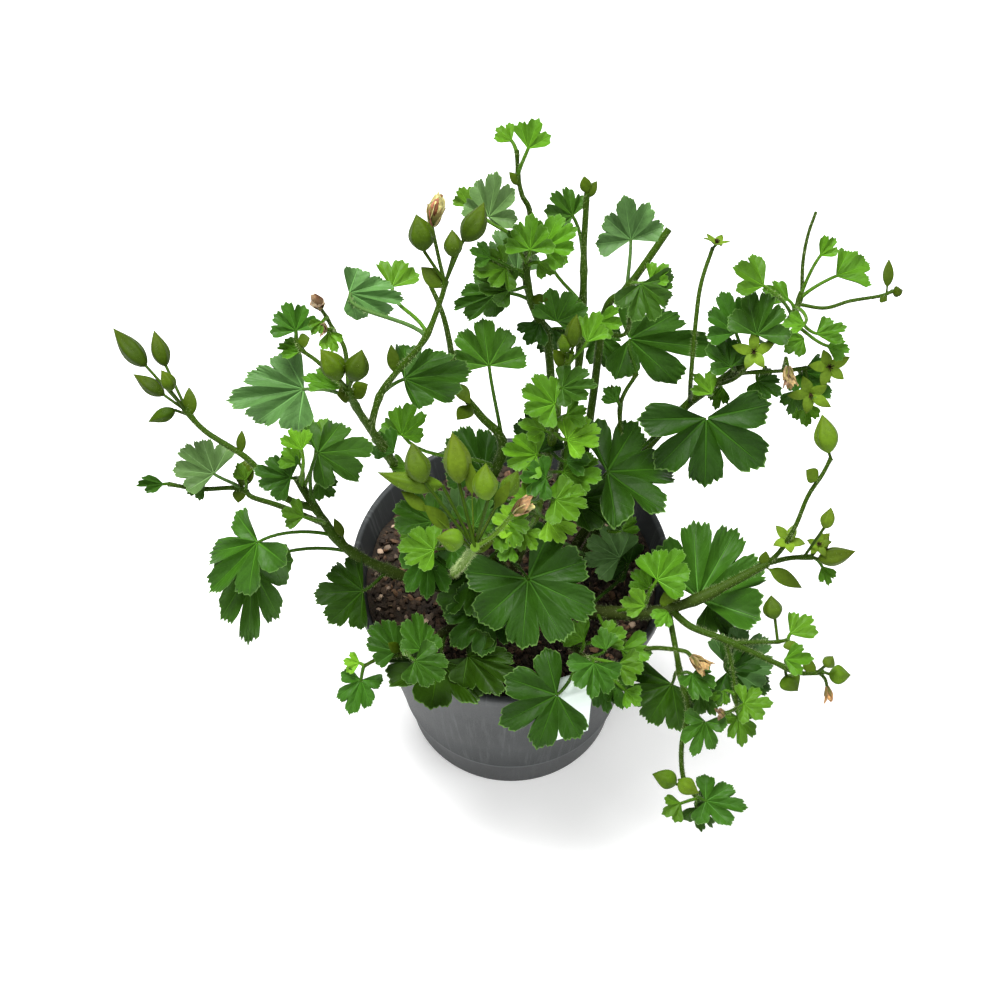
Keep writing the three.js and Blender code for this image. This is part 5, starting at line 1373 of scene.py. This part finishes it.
def leaf_paint():
    """Leaf green: pale veins that run out along the lobes and fork, a fine net between them, a
    pale hairy edge, and a paler underside on which the veins stand up."""
    edge_green = colour4((0.16, 0.30, 0.07))
    under_green = colour4((0.080, 0.145, 0.030))
    paint = Paint("leaf_green")
    tone = paint.value("tone", "Vector")
    along, off, share = paint.split(paint.value("vein_map", "Vector"))
    under = paint.value("under")
    width = 0.022 * (1.12 - along)
    middle = (2 - 2 * off / width).held()
    forks = abs(((along - 1.3 * off) / 0.26).fraction() - 0.5)
    fork = (1 - forks / 0.035).held() * (off * 9).held()
    line = (1 - paint.net(1.8) / 0.05).held()
    veins = (middle + 0.35 * fork + 0.12 * line).held()
    quilt = (1 - 4 * forks * forks) * (1 - middle)
    patches = paint.noise(7, 4.0)
    grain = paint.noise(0.6, 2.0)
    # The raised parts of the quilting are painted a little lighter: painted highlight.
    shade = 0.45 + 0.8 * patches + 0.2 * grain + 0.08 * quilt
    green = paint.scaled(tone, shade)
    colour = paint.mix(veins * 0.5, green, paint.scaled(tone, 2.6))
    edge = ((share - 0.965) / 0.02).held()
    colour = paint.mix(edge * 0.45, colour, edge_green)
    colour = paint.mix(under * 0.4, colour, under_green)
    height = 0.5 + (under - 0.4) * veins * 0.6 + 0.06 * grain + 0.25 * patches + 0.16 * quilt
    rough = 0.36 + 0.22 * grain
    return paint.finished(colour, rough, paint.bump(height, 0.7), specular_ior_level=0.14)


def stem_paint():
    """Stem green: fine spots and broad blotches over the stem's own tone."""
    paint = Paint("stem_green")
    tone = paint.value("tone", "Vector")
    spots = paint.noise(1.4, 4.0)
    broad = paint.noise(7)
    colour = paint.scaled(tone, 0.5 + 0.6 * spots + 0.4 * broad)
    rough = 0.45 + 0.2 * spots
    return paint.finished(colour, rough, paint.bump(spots, 0.25), specular_ior_level=0.08)


def hair_paint():
    """Fine pale hairs."""
    paint = Paint("fine_hair")
    tone = paint.value("tone", "Vector")
    along = paint.noise(3)
    return paint.finished(paint.scaled(tone, 0.8 + 0.4 * along), 0.5 + 0.1 * along, paint.bump(along, 0.02))


def petal_paint():
    """Faded petals: thin, dry and finely creased, with painted shade in the creases' hollows."""
    paint = Paint("dry_petal")
    tone = paint.value("tone", "Vector")
    creases = paint.noise(0.9, 5.0, 0.65)
    spots = paint.noise(2.6)
    # The petal is painted darker where its crumpled bump runs low: painted shade in the creases.
    colour = paint.scaled(tone, 1.8 * creases * creases + 0.35 * spots)
    rough = 0.6 + 0.2 * creases
    return paint.finished(
        colour, rough, paint.bump(creases, 0.3), subsurface_weight=0.1, subsurface_scale=0.001,
    )


def peat_paint():
    """Moist peat: brown on the crumbs, and near black in the hollows between them, painted shade over the
    dark peat.
    """
    paint = Paint("moist_peat")
    crumbs = paint.noise(1.3, 6.0, 0.7)
    broad = paint.noise(11)
    # The near black of the painted shade in the hollows.
    dark = colour4((0.006, 0.004, 0.002))
    brown = colour4((0.055, 0.033, 0.016))
    # Where the crumbs' bumps run low the peat is painted near black: painted shade in the hollows.
    colour = paint.mix(((crumbs - 0.32) * 2.6 * (0.5 + broad)).held(), dark, brown)
    return paint.finished(colour, 0.75 + 0.2 * crumbs, paint.bump(crumbs, 1.4))


def grain_paint():
    """Loose grains, each with a tone of its own and a rough skin."""
    paint = Paint("peat_grain")
    tone = paint.value("tone", "Vector")
    skin = paint.noise(0.6, 5.0, 0.65)
    return paint.finished(paint.scaled(tone, 0.45 + 1.1 * skin), 0.7 + 0.2 * skin, paint.bump(skin, 0.4))


def pot_paint():
    """Dark grey plastic with fine vertical streaks of painted reflection, and dust in its pores."""
    dark_grey = colour4((0.022, 0.024, 0.025))
    grey = colour4((0.044, 0.048, 0.049))
    # The colour of the painted reflection streaks.
    reflection_grey = colour4((0.130, 0.138, 0.138))
    # The colour of the painted highlight along the foot step.
    step_highlight_grey = colour4((0.17, 0.18, 0.18))
    dust_tone = colour4((0.18, 0.17, 0.15))
    paint = Paint("grey_plastic")
    x, y, z = paint.split(paint.place)
    turn = paint.node("ShaderNodeMath", [y, x], operation="ARCTAN2")
    spot = paint.node("ShaderNodeCombineXYZ", [turn * 9, z * 9, 0.0])
    # Fine lighter streaks that run up and down the wall: painted reflections.
    reflection_streak_noise = paint.node("ShaderNodeTexNoise", {"Vector": spot, "Scale": 3.0, "Detail": 5.0, "Roughness": 0.7})
    reflection_streaks = ((reflection_streak_noise - 0.52) * 4).held()
    dust = paint.noise(0.5, 4.0, 0.7)
    broad = paint.noise(24)
    base = paint.mix(broad, dark_grey, grey)
    colour = paint.mix(reflection_streaks * 0.6, base, reflection_grey)
    # A thin lighter line just over the foot step: a painted highlight.
    band = (1 - abs(z / METRE - FOOT_HEIGHT - 0.2) / 0.5).held()
    colour = paint.mix(band * 0.6, colour, step_highlight_grey)
    colour = paint.mix((dust - 0.62).held() * 1.2, colour, dust_tone)
    rough = 0.4 + 0.2 * dust + 0.1 * reflection_streaks
    return paint.finished(colour, rough, paint.bump(dust, 0.06), specular_ior_level=0.18)


def label_paint():
    """Plain white plastic with a faint mint tint and light scuffs."""
    mint = colour4((0.62, 0.75, 0.68))
    white = colour4((0.82, 0.88, 0.84))
    paint = Paint("white_label")
    scuffs = paint.noise(2.2, 5.0, 0.7)
    broad = paint.noise(14)
    colour = paint.mix(0.6 * scuffs + 0.2 * broad, mint, white)
    return paint.finished(colour, 0.32 + 0.25 * scuffs, paint.bump(scuffs, 0.04))


class Stem:
    """A stem's path, its radius and tone at each point, and how many points come before its
    first counted place. Its slim radii are those without the swellings."""

    def __init__(self, path, radii, foot, tones):
        self.path = path
        self.slim_radii = radii
        self.radii = radii
        self.foot = foot
        self.tones = tones

    def at(self, along):
        """The point a number of places along the stem."""
        index = min(along * STEM_STEPS, len(self.path) - 1 - self.foot - STEM_END_SINK)
        return on_path(self.path, np.array([index + self.foot]))[0]

    def swell(self, along):
        """Thickens the stem at the place where a petiole or a pedicel leaves it. The swelling
        falls like a bell to both sides, and swellings that meet don't add up."""
        index = along * STEM_STEPS + self.foot
        away = (np.arange(len(self.path)) - index) / (SWELL_REACH * STEM_STEPS)
        swollen = self.slim_radii * (1 + SWELL * np.exp(-away**2))
        self.radii = np.maximum(self.radii, swollen)


def grow_stem(grown, root, row, tone):
    """Adds a stem to the grown ones, from its row. A main one starts in the peat, with the tone of
    its foot there, and a side one starts on its parent."""
    name, parent, along, places, start_radius, end_radius = row
    points = [place(spot) for spot in places]
    first = grown[parent].at(along) if parent else np.array([*root, SOIL_TOP + STEM_RISE])
    path = curve_through([first, *points], STEM_STEPS)
    radii = np.linspace(start_radius, end_radius, len(path))
    tones = np.broadcast_to(tone, path.shape)
    if not parent:
        low = np.array([[*root, SOIL_TOP - depth] for depth in STEM_FOOT_DEPTHS])
        path = np.vstack([low, path])
        radii = np.concatenate([radii[:1], radii[:1], radii])
        height = (path[:, 2] - SOIL_TOP) / STEM_FOOT_HEIGHT
        tones = blend(STEM_FOOT_TONE, tone, np.clip(height, 0, 1))
    foot = len(path) - STEM_STEPS * len(points) - 1
    grown[name] = Stem(path, radii, foot, tones)


def grow_shoot(name, plan):
    """One leafy stem: its stems, petioles and pedicels; its blades; its buds and bracts; and the
    fine hairs on them."""
    stem_tone = plan.get("stem_tone", STEM_TONE)
    bud_tone = plan.get("bud_tone", BUD_TONE)
    grown = {}
    for row in plan["stems"]:
        grow_stem(grown, plan["root"], row, stem_tone)
    for row in (*plan["leaves"], *plan["buds"]):
        grown[row[0]].swell(row[1])

    stems, blades, buds, fuzz = [], [], [], []
    for stem in grown.values():
        stems.append(tube(stem.path, stem.radii, sides=12, tone=stem.tones))
        fuzz.append(hairs(stem.path[stem.foot:], stem.radii[stem.foot:], *STEM_HAIRS))
    for stem, along, base, tip, kind, width, tone in plan["leaves"]:
        base, tip = place(base), place(tip)
        path = petiole_path(grown[stem].at(along), base, tip)
        radii = np.linspace(1.05, 0.85, len(path)) * PETIOLE_RADIUS
        # Each petiole takes part of its leaf's tone, with the painted light and shade in it.
        petiole_tone = 0.5 * np.array(STEM_TONE) + 0.7 * np.array(TONES[tone])
        stems.append(tube(path, radii, sides=8, tone=petiole_tone))
        fuzz.append(hairs(path, radii, *PETIOLE_HAIRS))
        blades.append(blade(base, tip, kind, width, tone))
    for stem, along, base, tip, radius in plan["buds"]:
        start = grown[stem].at(along)
        base, tip = place(base), place(tip)
        path = curve_through([start, 0.5 * (start + base) - 0.04 * (base - start), base], 5)
        stems.append(tube(path, PEDICEL_RADIUS, sides=8, tone=PEDICEL_TONE))
        body, line, widths = bud(base, tip, radius, bud_tone)
        buds.append(body)
        fuzz.append(hairs(line[:-1], widths[:-1], *BUD_HAIRS))
    for stem, along, tip, width in plan["bracts"]:
        buds.append(bract(grown[stem].at(along), place(tip), width, bud_tone))
    for stem, along, middle, facing, radius in plan.get("stars", []):
        start, seat = grown[stem].at(along), place(middle)
        stalk = np.linspace(start, seat, 6)
        stems.append(tube(stalk, STAR_STALK_RADIUS, sides=8, tone=STAR_STALK_TONE))
        buds += star(seat, place(facing), radius)

    parts = (("stems", stems, STEM_PAINT), ("leaves", blades, LEAF_PAINT), ("buds", buds, STEM_PAINT),
             ("hairs", fuzz, HAIR_PAINT))
    for part, surfaces, paint in parts:
        if surfaces:
            add_piece(f"{part}_{name}", surfaces, paint, name)


def grow_bloom(name, seat, tip, width, count, tone, first_tone):
    """A dried flower on its pedicel, with its petals and the sepals round them."""
    if name == "faded_bud":
        slot, curl = "faded_petal", 0.1
    else:
        slot, curl = "dried_petal", 0.75
    tones = [PETAL_TONES[first_tone]] + [PETAL_TONES[tone]] * (count - 1)
    petals, sepals = bloom(place(seat), place(tip), width, tones, curl)
    add_piece(f"petals_{name}", petals, PETAL_PAINT, name)
    add_piece(f"sepals_{name}", sepals, STEM_PAINT, name)


def add_pot():
    """The pot, its peat with loose grains on it, and the label on its rim."""
    pot = add_piece("pot_wall", [pot_surface()], pot_paint(), "pot")
    cut_drain_holes(pot)
    add_piece("peat_bed", [soil_surface()], peat_paint(), "soil")
    bits = [grains(*row) for row in PEAT_BITS]
    add_piece("peat_bits", bits, grain_paint(), "soil")
    add_piece("label_strip", [label_surface()], label_paint(), "label")


def add_lamp(name, spot, size, power):
    """A soft square lamp that faces the plant."""
    light = bpy.data.lights.new(name, "AREA")
    light.size = size
    light.energy = power
    lamp = bpy.data.objects.new(name, light)
    lamp.location = spot
    lamp.rotation_euler = (Vector(LAMP_AIM) - Vector(spot)).to_track_quat("-Z", "Y").to_euler()
    frame_scene.collection.objects.link(lamp)


def floor_paint():
    """Pale paper with fine fibres, which glows a little so that it stays white."""
    paint = Paint("floor_paper")
    fibre = paint.noise(2)
    colour = paint.mix(fibre, colour4((0.86, 0.86, 0.86)), colour4((0.90, 0.90, 0.90)))
    rough = 0.8 + 0.1 * fibre
    return paint.finished(
        colour, rough, paint.bump(fibre, 0.02), emission_color=colour4((1.0, 1.0, 1.0)),
        emission_strength=0.25,
    )


def add_studio():
    """A pale floor, a bright even sky and soft lamps over the plant."""
    floor_mesh = bpy.data.meshes.new("studio_floor")
    corners = FLOOR_REACH * np.array([(-1, -1, 0), (1, -1, 0), (1, 1, 0), (-1, 1, 0)])
    floor_mesh.from_pydata(corners.tolist(), [], [(0, 1, 2, 3)])
    floor = bpy.data.objects.new("studio_floor", floor_mesh)
    frame_scene.collection.objects.link(floor)
    floor_mesh.materials.append(floor_paint())

    world = bpy.data.worlds.new("studio_sky")
    world.use_nodes = True
    sky = world.node_tree.nodes["Background"]
    sky.inputs["Color"].default_value = colour4((1.0, 1.0, 1.0))
    sky.inputs["Strength"].default_value = SKY_STRENGTH
    frame_scene.world = world
    for row in LAMPS:
        add_lamp(*row)


def add_camera():
    """The camera, at the picture's angle and distance."""
    lens = bpy.data.cameras.new("camera")
    lens.sensor_width = SENSOR_WIDTH
    lens.lens = SENSOR_WIDTH * VIEW_FOCAL / PICTURE_SIZE
    lens.shift_x = (PICTURE_SIZE / 2 - VIEW_COLUMN) / PICTURE_SIZE
    lens.shift_y = (VIEW_ROW - PICTURE_SIZE / 2) / PICTURE_SIZE
    lens.clip_start = 0.01
    aim = np.array([0, 0, VIEW_AIM_HEIGHT])
    camera = bpy.data.objects.new("camera", lens)
    camera.location = (aim + VIEW_DISTANCE * TO_VIEWER) * METRE
    camera.rotation_euler = Vector(-TO_VIEWER).to_track_quat("-Z", "Y").to_euler()
    frame_scene.collection.objects.link(camera)
    frame_scene.camera = camera


LEAF_PAINT = leaf_paint()
STEM_PAINT = stem_paint()
HAIR_PAINT = hair_paint()
PETAL_PAINT = petal_paint()

add_pot()
for shoot_name, shoot_plan in SHOOTS.items():
    grow_shoot(shoot_name, shoot_plan)
for bloom_row in BLOOMS:
    grow_bloom(*bloom_row)
add_studio()
add_camera()
frame_scene.view_settings.view_transform = "Standard"
